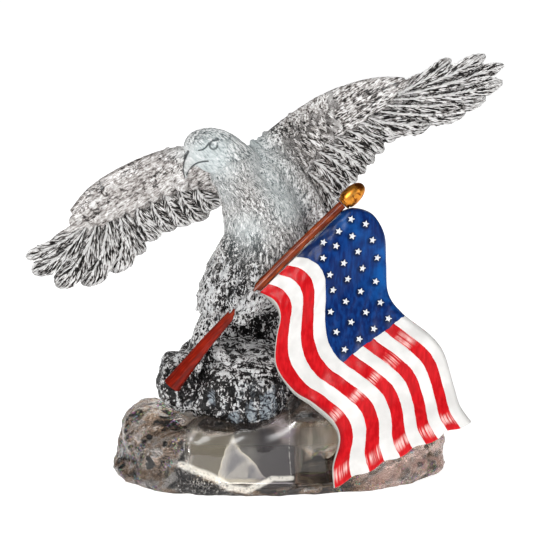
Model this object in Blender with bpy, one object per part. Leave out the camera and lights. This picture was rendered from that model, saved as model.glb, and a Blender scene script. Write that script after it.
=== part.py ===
"""Lighted eagle figurine.

A clear cast eagle lands on a crumpled rock perch. The perch sits in a socket of a clear rock
base, with a light unit in a recess under it. A painted flag hangs in front on a flared pole
with a gilt finial, and the pole runs through the feathers of the near leg.

The frame: X runs to the right, Y to the back and Z up, and the front faces -Y.
The carving is given in figure units, a 217th part of the wingspan, or one millimetre at
the real size. What is fitted or moulded to a size is given in metres.
"""

import math

import bmesh
import bpy
import numpy as np
from mathutils import Matrix, Vector, noise

# Driving sizes
WINGSPAN = 0.217
UNIT = WINGSPAN / 217
CLEARANCE = 0.0003
POLE_RADIUS = 0.0020
POLE_BUTT_RADIUS = 0.0040
FLAG_THICKNESS = 0.0032
FINIAL_LENGTH = 0.0126
FINIAL_RADIUS = 0.0042
FEATHER_THICKNESS = 0.0034
CARVING_GRAIN = 0.0009
BASE_GRAIN = 0.0022
LIGHT_UNIT_WIDTH = 0.047
LIGHT_UNIT_DEPTH = 0.040
LIGHT_UNIT_HEIGHT = 0.019
LIGHT_UNIT_CORNER = 0.004
LIGHT_UNIT_INSET = 0.0005
LENS_RADIUS = 0.007
LENS_HEIGHT = 0.002

# How far a cutter runs out past what it cuts
BEYOND = WINGSPAN

# The perch stands on the roof of the light unit's recess
ROOF_THICKNESS = 0.005
PERCH_SEAT = LIGHT_UNIT_INSET + LIGHT_UNIT_HEIGHT + LENS_HEIGHT + CLEARANCE + ROOF_THICKNESS

# Share of the fused faces that is kept when a casting is simplified
CARVING_KEPT = 0.0385
BASE_KEPT = 0.085

# Wing arms, from the shoulder to the wrist: x, y, z, half height and half depth
LEFT_ARM = (
    (-8, 2, 140, 12, 10),
    (-24, 7, 140, 11.5, 6),
    (-40, 11, 138.8, 11.5, 3.9),
    (-55, 13.5, 134, 11, 3.4),
    (-68, 13.5, 128.6, 9.8, 3.1),
    (-78.3, 11.5, 122.8, 8.4, 2.9),
    (-87.3, 8.7, 117, 4.8, 2.4),
)
RIGHT_ARM = (
    (-2, 0, 137, 14, 12),
    (7, 5, 145, 14, 7.5),
    (18, 9, 154.5, 13, 4.8),
    (31, 12.5, 163.5, 12, 3.8),
    (44, 14, 169.6, 10.8, 3.4),
    (56, 13, 174.2, 8.8, 3.1),
    (65.5, 11, 178, 4.8, 2.5),
)
RIGHT_SHOULDER = (
    (-6, -4, 140, 12, 11),
    (4, 1, 136, 13, 11),
    (13, 2.5, 128, 11, 6),
    (21, 4, 119, 8, 3.6),
    (25, 4.5, 112, 4.5, 2.6),
)

# Feather roots run along each wing from the body to the wrist
LEFT_ROOTS = (
    (-22, 6, 138),
    (-38, 11, 136),
    (-53, 13, 130),
    (-65, 13, 124),
    (-75, 11, 119),
    (-83, 10, 114),
)
RIGHT_ROOTS = (
    (2, 4, 132),
    (9, 7, 143),
    (19, 9, 152),
    (32, 12, 160),
    (43, 13, 166),
    (53, 12, 172),
    (59, 11, 174.3),
)

# Tips of the flight feathers from the body outwards: x, y, z
LEFT_TIPS = (
    (-20.5, 3, 124),
    (-27, 5, 117.5),
    (-34.5, 7, 114.5),
    (-42, 9, 111.5),
    (-51, 10, 106.5),
    (-58.5, 10, 99.5),
    (-69, 8, 91.5),
    (-83, 5, 86),
    (-95.5, 2, 86),
    (-106.5, 0, 93),
    (-109.5, -1, 100.6),
)
RIGHT_TIPS = (
    (14, 3, 105),
    (20.5, 3, 111),
    (27, 4, 117),
    (33, 5, 124),
    (38, 6, 130),
    (42.5, 7, 135),
    (46.5, 8, 139),
    (50.5, 9, 143.5),
    (55, 10, 148.5),
    (60.5, 10, 154.5),
    (66, 9, 158.6),
    (75.8, 6, 161.8),
    (92, 5, 168),
    (100.5, 3, 174),
    (107.8, 1, 181.4),
    (108, 0, 189.4),
    (99.8, 1, 193.5),
    (84.3, 3, 191.6),
)

# Body, neck and limbs: x, y, z, half width and half depth
TORSO = (
    (-13, -10, 149, 9, 10),
    (-11, -9, 141, 13, 12.5),
    (-4, -6, 132, 16, 15.5),
    (-1, -4, 121, 17, 17),
    (0, -3, 110, 17.5, 17),
    (-2, -2, 98, 18, 16.5),
    (-3, 2, 87, 16, 15),
    (-2, 7, 78, 9, 9),
)
NEAR_THIGH = (
    (-10, -7, 105, 11, 12),
    (-13.5, -10, 96, 12.3, 13),
    (-17.5, -12, 87, 11.5, 12),
    (-20.5, -13, 78, 9.5, 9.5),
)
NEAR_SHANK = (
    (-20.5, -12, 82, 6, 6),
    (-24.5, -13.5, 72, 6.3, 6),
    (-27, -15, 64, 6.5, 6.5),
    (-28, -16, 57, 7.5, 7.5),
)
FAR_THIGH = ((5, -4, 104, 12, 12), (10, -6, 92, 11, 11), (14, -8, 81, 8.5, 8.5))
FAR_SHANK = ((13.5, -8, 84, 6, 6), (15.5, -9, 74, 5.5, 5.5), (16, -11, 66, 6, 6), (15.5, -12, 57, 7, 7))
BELLY_TUFT = (
    (-4, -14, 104, 10, 9),
    (-6, -21, 94, 9.5, 10.5),
    (-9, -24, 84, 7.5, 9),
    (-12, -23, 75, 3.5, 4.5),
)
RUMP = ((-3, 4, 100, 14, 12), (-4, 9, 86, 14, 9), (-5, 15, 70, 15, 5.5), (-5, 18, 54, 15, 4.5))

# Head: the skull, brow and beak
SKULL = (
    (-7, -7, 143.2, 7.5, 8.5),
    (-13.5, -10.3, 147.6, 8.9, 9.2),
    (-20.5, -12.5, 151.9, 9.7, 9.4),
    (-26.8, -14.3, 153.4, 9.3, 8.7),
    (-32.3, -15.7, 152.6, 7.2, 6.6),
    (-35.4, -16.5, 151.6, 2.6, 2.4),
)
BEAK = (
    (-27, -15.5, 150.5, 5, 4.6),
    (-31.3, -17, 149.8, 4.4, 3.9),
    (-33.8, -18, 147.6, 2.8, 2.7),
    (-35.2, -18.7, 144.2, 1.6, 1.7),
    (-35.2, -19, 140.6, 0.7, 0.8),
)
JAW = ((-20, -14, 146.5, 5.5, 5.5), (-25, -16, 146.6, 3.8, 3.8), (-29.5, -17, 147.2, 1.6, 1.8))
BROW_CENTRE = (-25, -21, 158)
BROW_RADII = (5, 2, 1.2)
EYE_CENTRE = (-22.6, -21.4, 156.2)
EYE_RADIUS = 1.7

# Feet: the middle lines of the near foot's toes, moved over for the far one, and their thickness
TOES = (
    ((-29, -15, 58.5), (-34, -19, 58.5), (-39.5, -22, 57.5), (-43.5, -24, 55)),
    ((-28, -16, 60), (-29, -22, 61), (-30, -27, 59.5), (-30, -30.5, 54.5)),
    ((-27, -15, 60), (-23.5, -20, 61), (-19, -24, 60), (-15.5, -26.5, 56.5)),
    ((-28, -12, 60), (-29.5, -7, 61), (-31, -3, 60.5), (-31, 0, 58)),
)
TOE_RADII = (4.2, 3, 2.7, 1.3)
FAR_FOOT_SHIFT = (43, 4, -3)

# Tail: where the middle of its fan starts and ends, and how wide the ends spread
TAIL_ROOT = (-4, 15, 92)
TAIL_TIP_CENTRE = (-4, 31, 40)
TAIL_BLADES = 6
TAIL_SPREAD = 38

# Perch boulders: centre, radii and seed
PERCH_BOULDERS = (
    ((-37.5, -10, 44.8), (11, 16, 13), 2),
    ((-11, -9, 41), (24, 26, 17.5), 5),
    ((-8, -8, 52.5), (23, 21, 6.5), 8),
    ((10, 3, 42), (21, 24, 17), 11),
    ((-16, 8, 44), (26, 19, 17), 14),
)
PERCH_ROUGHNESS = 1.8

# Rock base: corners of the footprint, then the height of the rim above each
BASE_OUTLINE = (
    (-69.5, -4, 29),
    (-66, -18, 27),
    (-52, -33, 26),
    (-35, -41.5, 28),
    (-14, -43, 28),
    (6, -43, 31),
    (22, -41, 38),
    (34, -38.5, 34),
    (47, -36, 30),
    (62, -29, 29),
    (74.5, -19, 28),
    (84, -3, 27),
    (85, 14, 29),
    (76, 30, 32),
    (50, 40, 36),
    (10, 43, 36),
    (-30, 41, 33),
    (-55, 31, 25.5),
    (-67.5, 13, 27),
)
# Rings of the base, from below the foot to the middle of the top: the share of the outline
# and of the rim height
BASE_RINGS = (
    (1.0, -0.1),
    (1.0, 0.02),
    (1.02, 0.12),
    (0.985, 0.3),
    (0.98, 0.55),
    (0.965, 0.8),
    (0.92, 0.96),
    (0.86, 1.03),
    (0.74, 1.1),
    (0.5, 1.14),
    (0.22, 1.16),
)
BASE_ROUGHNESS = 2.0
BASE_RIGHT_UNDERCUT = 1.2

# Flagpole: its middle line from the butt to the finial, evenly spaced
POLE_PATH = (
    (-42, -29.5, 47.6),
    (-24, -28.7, 69.9),
    (-5, -27, 90.4),
    (14.5, -23, 109.7),
    (35, -18.5, 128.8),
)

# Flag: the shares of the pole that its hoist takes up, and the edges below and above from there
HOIST_LOW = 0.53
HOIST_HIGH = 0.965
FLAG_LOW_EDGE = (
    (4.5, -30, 87),
    (8, -33, 80.5),
    (6.5, -35, 70.5),
    (6.5, -37.5, 58.5),
    (13, -39.5, 48),
    (22.5, -41, 42.5),
    (30.5, -43, 35),
    (33.5, -44, 26.5),
    (31.5, -45, 14.5),
    (33, -46, 6),
)
FLAG_HIGH_EDGE = (
    (40.5, -19.5, 127.3),
    (48.5, -20.5, 124.5),
    (54, -20, 115),
    (55, -20, 102),
    (55.8, -24, 89),
    (61.8, -28, 81),
    (74, -32, 72.2),
    (80.6, -33, 63.5),
    (85, -33, 49.5),
    (88, -35, 40),
    (93, -37, 32.8),
)
FLAG_RIDGES = ((0.12, 2.2), (0.34, -2.0), (0.58, 2.8), (0.73, -1.6), (0.88, 2.0))
FLAG_RIDGE_SPREAD = 0.075
FLAG_ALONG = 22
FLAG_ACROSS = 10

# Light unit: its centre under the perch
LIGHT_UNIT_CENTRE = (-9, -5)

# The socket in the base is the hull of the perch below this height
SOCKET_REACH = 46


def units(point):
    """A point of the carving in metres."""
    return Vector(point[:3]) * UNIT


def along(stations, share):
    """The values a share of the way along a smooth curve through the stations."""
    spans = len(stations) - 1
    at = min(int(share * spans), spans - 1)
    f = share * spans - at
    rows = [np.array(stations[min(max(at + k, 0), spans)], float) for k in (-1, 0, 1, 2)]
    before, here, there, after = rows
    return 0.5 * (
        2 * here
        + (there - before) * f
        + (2 * before - 5 * here + 4 * there - after) * f**2
        + (3 * here - before - 3 * there + after) * f**3
    )


def loft(rings):
    """A closed body through rings of points: its points and faces."""
    points = [p for ring in rings for p in ring]
    count = len(rings[0])
    faces = [tuple(reversed(range(count)))]
    for low in range(0, len(points) - count, count):
        for i in range(count):
            j = (i + 1) % count
            faces.append((low + i, low + j, low + count + j, low + count + i))
    faces.append(tuple(range(len(points) - count, len(points))))
    return points, faces


def across(axis, front):
    """The two directions across an axis: sideways, and towards the front."""
    forward = (front - axis * front.dot(axis)).normalized()
    return axis.cross(forward), forward


def limb(stations, steps=8, sides=12, front=(0, -1, 0)):
    """A rounded limb whose stations give its centre, half width and half depth."""
    rings = []
    for i in range(steps + 1):
        share = i / steps
        here = along(stations, share)
        ahead = along(stations, min(share + 0.02, 1)) - along(stations, max(share - 0.02, 0))
        side, forward = across(Vector(ahead[:3]).normalized(), Vector(front))
        centre = units(here)
        wide, deep = max(here[3], 0.4) * UNIT, max(here[4], 0.4) * UNIT
        turns = [2 * math.pi * k / sides for k in range(sides)]
        rings.append([centre + side * wide * math.cos(a) + forward * deep * math.sin(a) for a in turns])
    return loft(rings)


def feather_width(share):
    """A blade's width along its length: narrow at the quill, full, then a round tip."""
    quill = 0.55 + 0.45 * min(share / 0.45, 1)
    tip = max(0.0, (share - 0.72) / 0.28)
    return quill * math.sqrt(max(1 - tip**2, 0.10))


def feather(root, tip, width, thickness, front=(0, -1, 0), tilt=0.0, bow=0.0, steps=7):
    """A blade with a raised shaft. tilt lifts one edge over its neighbour, bow arches the blade."""
    axis = (tip - root).normalized()
    side, forward = across(axis, Vector(front))
    turn = Matrix.Rotation(tilt, 3, axis)
    side, forward = turn @ side, turn @ forward
    front_half = ((-1, 0.2), (-0.5, 0.75), (0, 1.25), (0.5, 0.75))
    back_half = ((1, 0.2), (0.5, -0.75), (0, -1), (-0.5, -0.75))
    rings = []
    for i in range(steps + 1):
        share = i / steps
        centre = root.lerp(tip, share) + forward * bow * math.sin(math.pi * share)
        half = feather_width(share) * width / 2
        deep = thickness / 2 * (1 - 0.35 * share)
        rings.append([centre + side * x * half + forward * y * deep for x, y in front_half + back_half])
    return loft(rings)


def boulder(centre, radii, seed, roughness=PERCH_ROUGHNESS, detail=4):
    """A stone: a ball stretched to its radii and roughened by noise."""
    bm = bmesh.new()
    bmesh.ops.create_icosphere(bm, subdivisions=detail, radius=1)
    for v in bm.verts:
        lump = noise.fractal(v.co * 1.7 + Vector((seed, 0, 0)), 0.9, 2.0, 4)
        flat = Vector(max(-0.80, min(0.80, c)) / 0.80 for c in v.co)
        v.co = Vector(f * r for f, r in zip(v.co.lerp(flat, 0.35), radii)) + v.co * lump * roughness
    points = [units(v.co + Vector(centre)) for v in bm.verts]
    faces = [tuple(v.index for v in f.verts) for f in bm.faces]
    bm.free()
    return points, faces


def wing(arm, roots, tips, outwards, spread, widest):
    """One wing: its arm, the flight feathers and three rows of coverts on each face.

    A flight feather is as wide as its tip's distance from the next one times spread.
    """
    bodies = [limb(arm, steps=12)]
    last = len(tips) - 1
    for i, tip in enumerate(tips):
        quill, point = units(along(roots, i / last)), units(tip)
        beside = units(tips[i - 1] if i else tips[1])
        width = min(max((point - beside).length * spread, 9 * UNIT), widest * UNIT)
        if i == last:
            width = 7.5 * UNIT
        lean = outwards * math.radians(9)
        bodies.append(feather(quill, point, width, FEATHER_THICKNESS, tilt=lean, bow=1.2 * UNIT))
        span = point - quill
        arm_height, arm_depth = along(arm, i / last)[3:]
        edge = span.normalized() * arm_height * UNIT
        rows = (
            (quill - span * 0.06, quill + span * 0.56, 1.3),
            (quill - span * 0.06, quill + span * 0.32, 2.2),
            (quill - edge * 0.9, quill + edge * 0.5, arm_depth * 0.85),
        )
        for start, end, lift in rows:
            for face in (-1, 1):
                rise = Vector((0, face * lift * UNIT, 0))
                covert_width, thickness = min(width * 0.85, 9 * UNIT), FEATHER_THICKNESS * 0.8
                root = start + rise * 0.6
                bodies.append(feather(root, end + rise, covert_width, thickness, tilt=lean, steps=5))
    return bodies


def head():
    """The skull, hooked beak, lower jaw, brows and eyes."""
    bodies = [limb(SKULL, steps=8, sides=16), limb(BEAK, steps=8), limb(JAW, steps=5)]
    middle = Vector(SKULL[2][:3])
    for far_side in (False, True):
        for centre, radii in ((BROW_CENTRE, BROW_RADII), (EYE_CENTRE, (EYE_RADIUS,) * 3)):
            place = Vector(centre)
            if far_side:
                place.y = 2 * middle.y - place.y
            bodies.append(boulder(place, radii, 0, roughness=0, detail=2))
    return bodies


def feet():
    """Both feet, with three toes in front and one behind."""
    bodies = []
    for shift in ((0, 0, 0), FAR_FOOT_SHIFT):
        for toe in TOES:
            stations = [(*np.add(spot, shift), r, r) for spot, r in zip(toe, TOE_RADII)]
            bodies.append(limb(stations, steps=6, sides=8, front=(0, 0, 1)))
    return bodies


def tail():
    """A fan of blades that comes down behind the perch."""
    bodies = [limb(RUMP, steps=8)]
    for i in range(TAIL_BLADES):
        lean = i / (TAIL_BLADES - 1) - 0.5
        root = units(Vector(TAIL_ROOT) + Vector((lean * 14, -4 * abs(lean), 0)))
        drop = Vector((lean * TAIL_SPREAD, -6 * abs(lean), 8 * abs(lean)))
        tip = units(Vector(TAIL_TIP_CENTRE) + drop)
        bodies.append(feather(root, tip, 10 * UNIT, FEATHER_THICKNESS, front=(0, 1, 0), tilt=0.15))
    return bodies


def on_skin(station, outwards, share=1.0):
    """A point on a limb's skin in one direction, or a share of the way out to it."""
    skin = Vector((outwards.x * station[3], outwards.y * station[4], 0))
    return units(Vector(station[:3]) + skin * share)


def body_tufts():
    """Rows of pointed feathers that hang down all round the neck and the body."""
    bodies = []
    rows, around = 8, 18
    for row in range(rows):
        share = 0.05 + 0.70 * row / rows
        here, ahead = along(TORSO, share), along(TORSO, share + 0.15)
        for k in range(around):
            angle = 2 * math.pi * (k + 0.5 * (row % 2)) / around
            out = Vector((math.cos(angle), -math.sin(angle), 0))
            ends = on_skin(here, out, 0.90), on_skin(ahead, out, 1.03)
            bodies.append(feather(*ends, 6 * UNIT, FEATHER_THICKNESS * 0.8, front=out, steps=4))
    return bodies


def thigh_tufts():
    """Loose feathers on the near thigh, which hang over the shank."""
    bodies = []
    rows, around = 3, 7
    for row in range(rows):
        here, ahead = along(NEAR_THIGH, row * 0.27), along(NEAR_THIGH, row * 0.27 + 0.42)
        for k in range(around):
            angle = math.pi * (1.25 * (k + 0.5 * (row % 2)) / around - 0.1)
            out = Vector((math.cos(angle), -math.sin(angle), 0))
            ends = on_skin(here, out, 0.85), on_skin(ahead, out, 1.12)
            bodies.append(feather(*ends, 6.5 * UNIT, FEATHER_THICKNESS * 0.8, front=out, steps=4))
    return bodies


def rock_base_body():
    """The base: rings of the footprint carried up to the rim, then in over the top."""
    count = 46
    rings = []
    for reach, height in BASE_RINGS:
        ring = []
        for k in range(count):
            closed = BASE_OUTLINE + BASE_OUTLINE[:1]
            x, y, rim = along(closed, k / count)
            spot = Vector((x * reach, y * reach, rim * height))
            out = Vector((x, y, 0)).normalized()
            under = BASE_RIGHT_UNDERCUT * max(0.0, 1 - height / 0.3) * max(0.0, x / 84)
            window = -34 < x < 34 and y < 0
            rough = noise.ridged_multi_fractal(spot * 0.06, 0.8, 2.1, 3, 0.9, 2.0) - 1.2
            spot += out * (rough * BASE_ROUGHNESS * (0.25 if window else 1.0) - under)
            spot.z += noise.noise(spot * 0.08) * BASE_ROUGHNESS * 2 * (height > 0.7)
            ring.append(units(spot))
        rings.append(ring)
    return loft(rings)


def flag_point(u, v, depth=0.0):
    """A point of the flag: u from the pole to the free end, v from the low edge to the high one."""
    low = along((hoist(HOIST_LOW), *FLAG_LOW_EDGE), u)
    high = along((hoist(HOIST_HIGH), *FLAG_HIGH_EDGE), u)
    spot = units(low * (1 - v) + high * v)
    swell = sum(h * math.exp(-(((u - at) / FLAG_RIDGE_SPREAD) ** 2)) for at, h in FLAG_RIDGES)
    swell *= 0.35 + 0.65 * math.sin(math.pi * min(max(0.15 + 0.7 * v, 0), 1))
    spot.y += depth - FLAG_THICKNESS / 2 - swell * UNIT * min(u / 0.06, 1)
    return spot


def hoist(share):
    """The middle of the flag's edge beside the pole, a clearance away: x, y, z."""
    here = Vector(along(POLE_PATH, share))
    ahead = Vector(along(POLE_PATH, min(share + 0.02, 1)) - along(POLE_PATH, share - 0.02))
    beside = ahead.cross(Vector((0, -1, 0))).normalized()
    return tuple(here + beside * (POLE_RADIUS + CLEARANCE * 1.5) / UNIT)


def slab(front, back, columns, rows):
    """A closed sheet between two grids of points."""
    points, faces = front + back, []
    size = len(front)

    def at(i, j, behind):
        return i * (rows + 1) + j + size * behind

    for i in range(columns):
        for j in range(rows):
            quad = [at(i, j, 0), at(i + 1, j, 0), at(i + 1, j + 1, 0), at(i, j + 1, 0)]
            faces.append(tuple(quad))
            faces.append(tuple(q + size for q in reversed(quad)))
    rim = [(i, 0) for i in range(columns)] + [(columns, j) for j in range(rows)]
    rim += [(i, rows) for i in range(columns, 0, -1)] + [(0, j) for j in range(rows, 0, -1)]
    for (i, j), (k, l) in zip(rim, rim[1:] + rim[:1]):
        faces.append((at(k, l, 0), at(i, j, 0), at(i, j, 1), at(k, l, 1)))
    return points, faces


def flag_grid(depth, margin=0.0, flat_at=None):
    """Points of the flag at one depth, a margin beyond its edges, or brought to one plane."""
    grid = []
    for i in range(FLAG_ALONG + 1):
        for j in range(FLAG_ACROSS + 1):
            u, v = i / FLAG_ALONG, j / FLAG_ACROSS
            spot = flag_point(u, v, depth)
            ahead = flag_point(min(u + 0.02, 1), v) - flag_point(max(u - 0.02, 0), v)
            aside = flag_point(u, 1) - flag_point(u, 0)
            spot += ahead.normalized() * margin * ((i == FLAG_ALONG) - (i == 0))
            spot += aside.normalized() * margin * ((j == FLAG_ACROSS) - (j == 0))
            if flat_at is not None:
                spot.y = flat_at
            grid.append(spot)
    return grid


def turned(path, profile, sides=12):
    """A body turned about a path of points: shares of its length and radii."""
    rings = []
    for share, radius in profile:
        ahead = Vector(along(path, min(share + 0.02, 1)) - along(path, max(share - 0.02, 0)))
        side, forward = across(ahead.normalized(), Vector((0, -1, 0)))
        centre = Vector(along(path, share))
        turns = [2 * math.pi * (k + 0.5) / sides for k in range(sides)]
        rings.append([centre + (side * math.cos(a) + forward * math.sin(a)) * radius for a in turns])
    return loft(rings)


def pole_profile(extra=0.0):
    """The pole's taper: a flared butt, then a straight shaft."""
    shape = ((0, 1.0), (0.02, 1.0), (0.1, 0.72), (0.2, 0.44), (0.3, 0.2), (0.4, 0.06))
    shape += tuple((k / 10, 0.0) for k in (5, 6, 7, 8, 9, 10))
    spare = POLE_BUTT_RADIUS - POLE_RADIUS
    return [(share, POLE_RADIUS + flare * spare + extra) for share, flare in shape]


def finial_profile():
    """The finial: a collar, then an acorn."""
    shape = ((0, 0.62), (0.05, 0.74), (0.12, 0.74), (0.16, 0.86))
    shape += ((0.26, 0.96), (0.42, 1.0), (0.6, 0.93), (0.76, 0.76), (0.9, 0.48), (1, 0.12))
    return [(share, radius * FINIAL_RADIUS) for share, radius in shape]


def rounded_ring(width, depth, level, corner):
    """A level rectangle with round corners, about the light unit's centre.

    Each corner stops short of a full quarter turn, so a round one has no doubled points.
    """
    centre = Vector((LIGHT_UNIT_CENTRE[0] * UNIT, LIGHT_UNIT_CENTRE[1] * UNIT, level))
    ring = []
    for sx, sy, first in ((1, 1, 0), (-1, 1, 1), (-1, -1, 2), (1, -1, 3)):
        hub = centre + Vector((sx * (width / 2 - corner), sy * (depth / 2 - corner), 0))
        for k in range(5):
            a = math.pi / 2 * (first + (k + 0.1) / 4.2)
            ring.append(hub + Vector((math.cos(a), math.sin(a), 0)) * corner)
    return ring


def shader(name, colour, roughness, metallic=0.0, transmission=0.0):
    """A plain material with the part's colour."""
    material = bpy.data.materials.new(name)
    material.use_nodes = True
    sockets = material.node_tree.nodes["Principled BSDF"].inputs
    sockets["Base Color"].default_value = (*colour, 1)
    sockets["Roughness"].default_value = roughness
    sockets["Metallic"].default_value = metallic
    sockets["Transmission Weight"].default_value = transmission
    return material


def make(name, bodies, material=None, smooth=False):
    """One object from closed bodies. Without a material it is a cutter."""
    points, faces = [], []
    for body_points, body_faces in bodies:
        faces += [tuple(i + len(points) for i in face) for face in body_faces]
        points += body_points
    mesh = bpy.data.meshes.new(name)
    mesh.from_pydata(points, [], faces)
    bm = bmesh.new()
    bm.from_mesh(mesh)
    bmesh.ops.recalc_face_normals(bm, faces=bm.faces)
    bm.to_mesh(mesh)
    bm.free()
    node = bpy.data.objects.new(name, mesh)
    bpy.context.scene.collection.objects.link(node)
    if material is None:
        node.hide_render = True
        node.display_type = "WIRE"
    else:
        mesh.materials.append(material)
    if smooth:
        mesh.shade_smooth()
        mesh.set_sharp_from_angle(angle=math.radians(40))
    return node


def fuse(node, grain, kept):
    """Melts a node's bodies into one skin, then keeps a share of its faces."""
    remesh = node.modifiers.new("melt", "REMESH")
    remesh.mode = "VOXEL"
    remesh.voxel_size = grain
    decimate = node.modifiers.new("simplify", "DECIMATE")
    decimate.ratio = kept


def cut(node, cutter):
    """Takes a cutter out of a node."""
    boolean = node.modifiers.new(cutter.name, "BOOLEAN")
    boolean.operation = "DIFFERENCE"
    boolean.object = cutter


def evaluated_points(node):
    """The points of a node with its modifiers."""
    bpy.context.view_layer.update()
    shown = node.evaluated_get(bpy.context.evaluated_depsgraph_get())
    mesh = shown.to_mesh()
    points = [node.matrix_world @ v.co for v in mesh.vertices]
    shown.to_mesh_clear()
    return points


def socket_for(node, depth):
    """A cutter for the seat of a node: the hull of its foot, a clearance larger, open above."""
    top = depth + BEYOND
    bm = bmesh.new()
    for p in evaluated_points(node):
        if p.z > depth:
            continue
        for dx in (-CLEARANCE * 2, CLEARANCE * 2):
            for dy in (-CLEARANCE * 2, CLEARANCE * 2):
                bm.verts.new((p.x + dx, p.y + dy, p.z - CLEARANCE))
                bm.verts.new((p.x + dx, p.y + dy, top))
    bmesh.ops.remove_doubles(bm, verts=bm.verts, dist=CLEARANCE)
    hull = bmesh.ops.convex_hull(bm, input=bm.verts)
    inner = {g for g in hull["geom_interior"] + hull["geom_unused"] if isinstance(g, bmesh.types.BMVert)}
    bmesh.ops.delete(bm, geom=list(inner), context="VERTS")
    bmesh.ops.dissolve_limit(bm, angle_limit=math.radians(4), verts=bm.verts, edges=bm.edges)
    bm.verts.index_update()
    body = [v.co.copy() for v in bm.verts], [tuple(v.index for v in f.verts) for f in bm.faces]
    bm.free()
    return make("perch_socket", [body])


def block(name, top):
    """A cutter for all that is below a level."""
    corners = ((-BEYOND, -BEYOND), (BEYOND, -BEYOND), (BEYOND, BEYOND), (-BEYOND, BEYOND))
    return make(name, [loft([[Vector((x, y, z)) for x, y in corners] for z in (top - BEYOND, top)])])


def light_unit_rings(spare=0.0):
    """The light unit from its foot to its lens, or with spare room around it, its recess."""
    top = LIGHT_UNIT_INSET + LIGHT_UNIT_HEIGHT + spare
    width, depth = LIGHT_UNIT_WIDTH + 2 * spare, LIGHT_UNIT_DEPTH + 2 * spare
    foot = -BEYOND if spare else LIGHT_UNIT_INSET
    lens = LENS_RADIUS + spare
    housing = [rounded_ring(width, depth, level, LIGHT_UNIT_CORNER) for level in (foot, top)]
    boss = [rounded_ring(2 * lens, 2 * lens, level, lens) for level in (top, top + LENS_HEIGHT)]
    return loft(housing + boss)


def place_on_origin(nodes):
    """Hangs the nodes on an empty and moves it until the origin is their bottom centre."""
    root = bpy.data.objects.new("figurine", None)
    bpy.context.scene.collection.objects.link(root)
    points = np.array([p[:] for node in nodes for p in evaluated_points(node)])
    low, high = points.min(axis=0), points.max(axis=0)
    for thing in bpy.data.objects:
        if thing is not root:
            thing.parent = root
    root.location = (-(low[0] + high[0]) / 2, -(low[1] + high[1]) / 2, -low[2])


def main():
    for thing in list(bpy.data.objects):
        bpy.data.objects.remove(thing)
    crystal = shader("clear_casting", (0.86, 0.88, 0.90), 0.12, 0, 0.8)
    stone = shader("clear_rock", (0.80, 0.76, 0.70), 0.10, 0, 0.85)
    white = shader("light_housing", (0.86, 0.86, 0.84), 0.4)
    gilt = shader("finial_gilt", (0.80, 0.50, 0.12), 0.25, 1.0)
    timber = shader("pole_paint", (0.36, 0.07, 0.02), 0.3)

    carving = [limb(TORSO, steps=14, sides=20), limb(NEAR_THIGH), limb(NEAR_SHANK), limb(FAR_THIGH)]
    carving += [limb(FAR_SHANK), limb(BELLY_TUFT), limb(RIGHT_SHOULDER)]
    carving += wing(LEFT_ARM, LEFT_ROOTS, LEFT_TIPS, outwards=1, spread=1.3, widest=13.5)
    carving += wing(RIGHT_ARM, RIGHT_ROOTS, RIGHT_TIPS, outwards=-1, spread=1.2, widest=11.5)
    carving += head() + feet() + tail() + body_tufts() + thigh_tufts()
    carving += [boulder(*row) for row in PERCH_BOULDERS]
    eagle = make("eagle_on_perch", carving, crystal)
    fuse(eagle, CARVING_GRAIN, CARVING_KEPT)

    path = [units(p) for p in POLE_PATH]
    pole = make("flagpole", [turned(path, pole_profile())], timber)
    axis = (path[-1] - path[-2]).normalized()
    longer = [path[0] - (path[1] - path[0]).normalized() * CLEARANCE, *path[1:]]
    sleeve = make("pole_bore", [turned(longer, pole_profile(CLEARANCE))])
    start = path[-1] + axis * CLEARANCE
    line = (start, start + axis * FINIAL_LENGTH)
    finial = make("finial", [turned(line, finial_profile(), 16)], gilt, smooth=True)

    cloth = slab(flag_grid(0), flag_grid(FLAG_THICKNESS), FLAG_ALONG, FLAG_ACROSS)
    flag = make("flag", [cloth], shader("flag_paint", (0.70, 0.05, 0.06), 0.3))
    bed_back = flag_grid(FLAG_THICKNESS + CLEARANCE, CLEARANCE)
    bed_front = flag_grid(0, CLEARANCE, flat_at=-BEYOND)
    flag_bed = make("flag_bed", [slab(bed_front, bed_back, FLAG_ALONG, FLAG_ACROSS)])
    under_perch = block("under_perch", PERCH_SEAT)
    for cutter in (flag_bed, sleeve, under_perch):
        cut(eagle, cutter)

    base = make("rock_base", [rock_base_body()], stone)
    fuse(base, BASE_GRAIN, BASE_KEPT)
    light_unit = make("light_unit", [light_unit_rings()], white)
    recess = make("light_recess", [light_unit_rings(CLEARANCE)])
    under_base = block("under_base", 0)
    for cutter in (under_base, socket_for(eagle, SOCKET_REACH * UNIT), flag_bed, recess):
        cut(base, cutter)

    place_on_origin([eagle, base, light_unit, pole, finial, flag])


main()
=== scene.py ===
# %% [markdown]
# # A lighted eagle figurine
#
# The real object is a desk ornament. An eagle with raised wings and the rock perch under it
# are one casting in clear acrylic. The perch sits in a second clear casting, the rock base,
# which has a small light under it. A flag, its pole and a gilt finial are cast and painted
# apart, and lean on the eagle.
#
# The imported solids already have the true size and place. This lesson gives each of them the
# finish and the fine relief of the real piece, without moving anything.

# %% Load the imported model
import math

import bmesh
import bpy
import numpy as np
from mathutils import Matrix, Vector, noise
from mathutils.bvhtree import BVHTree


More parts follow.
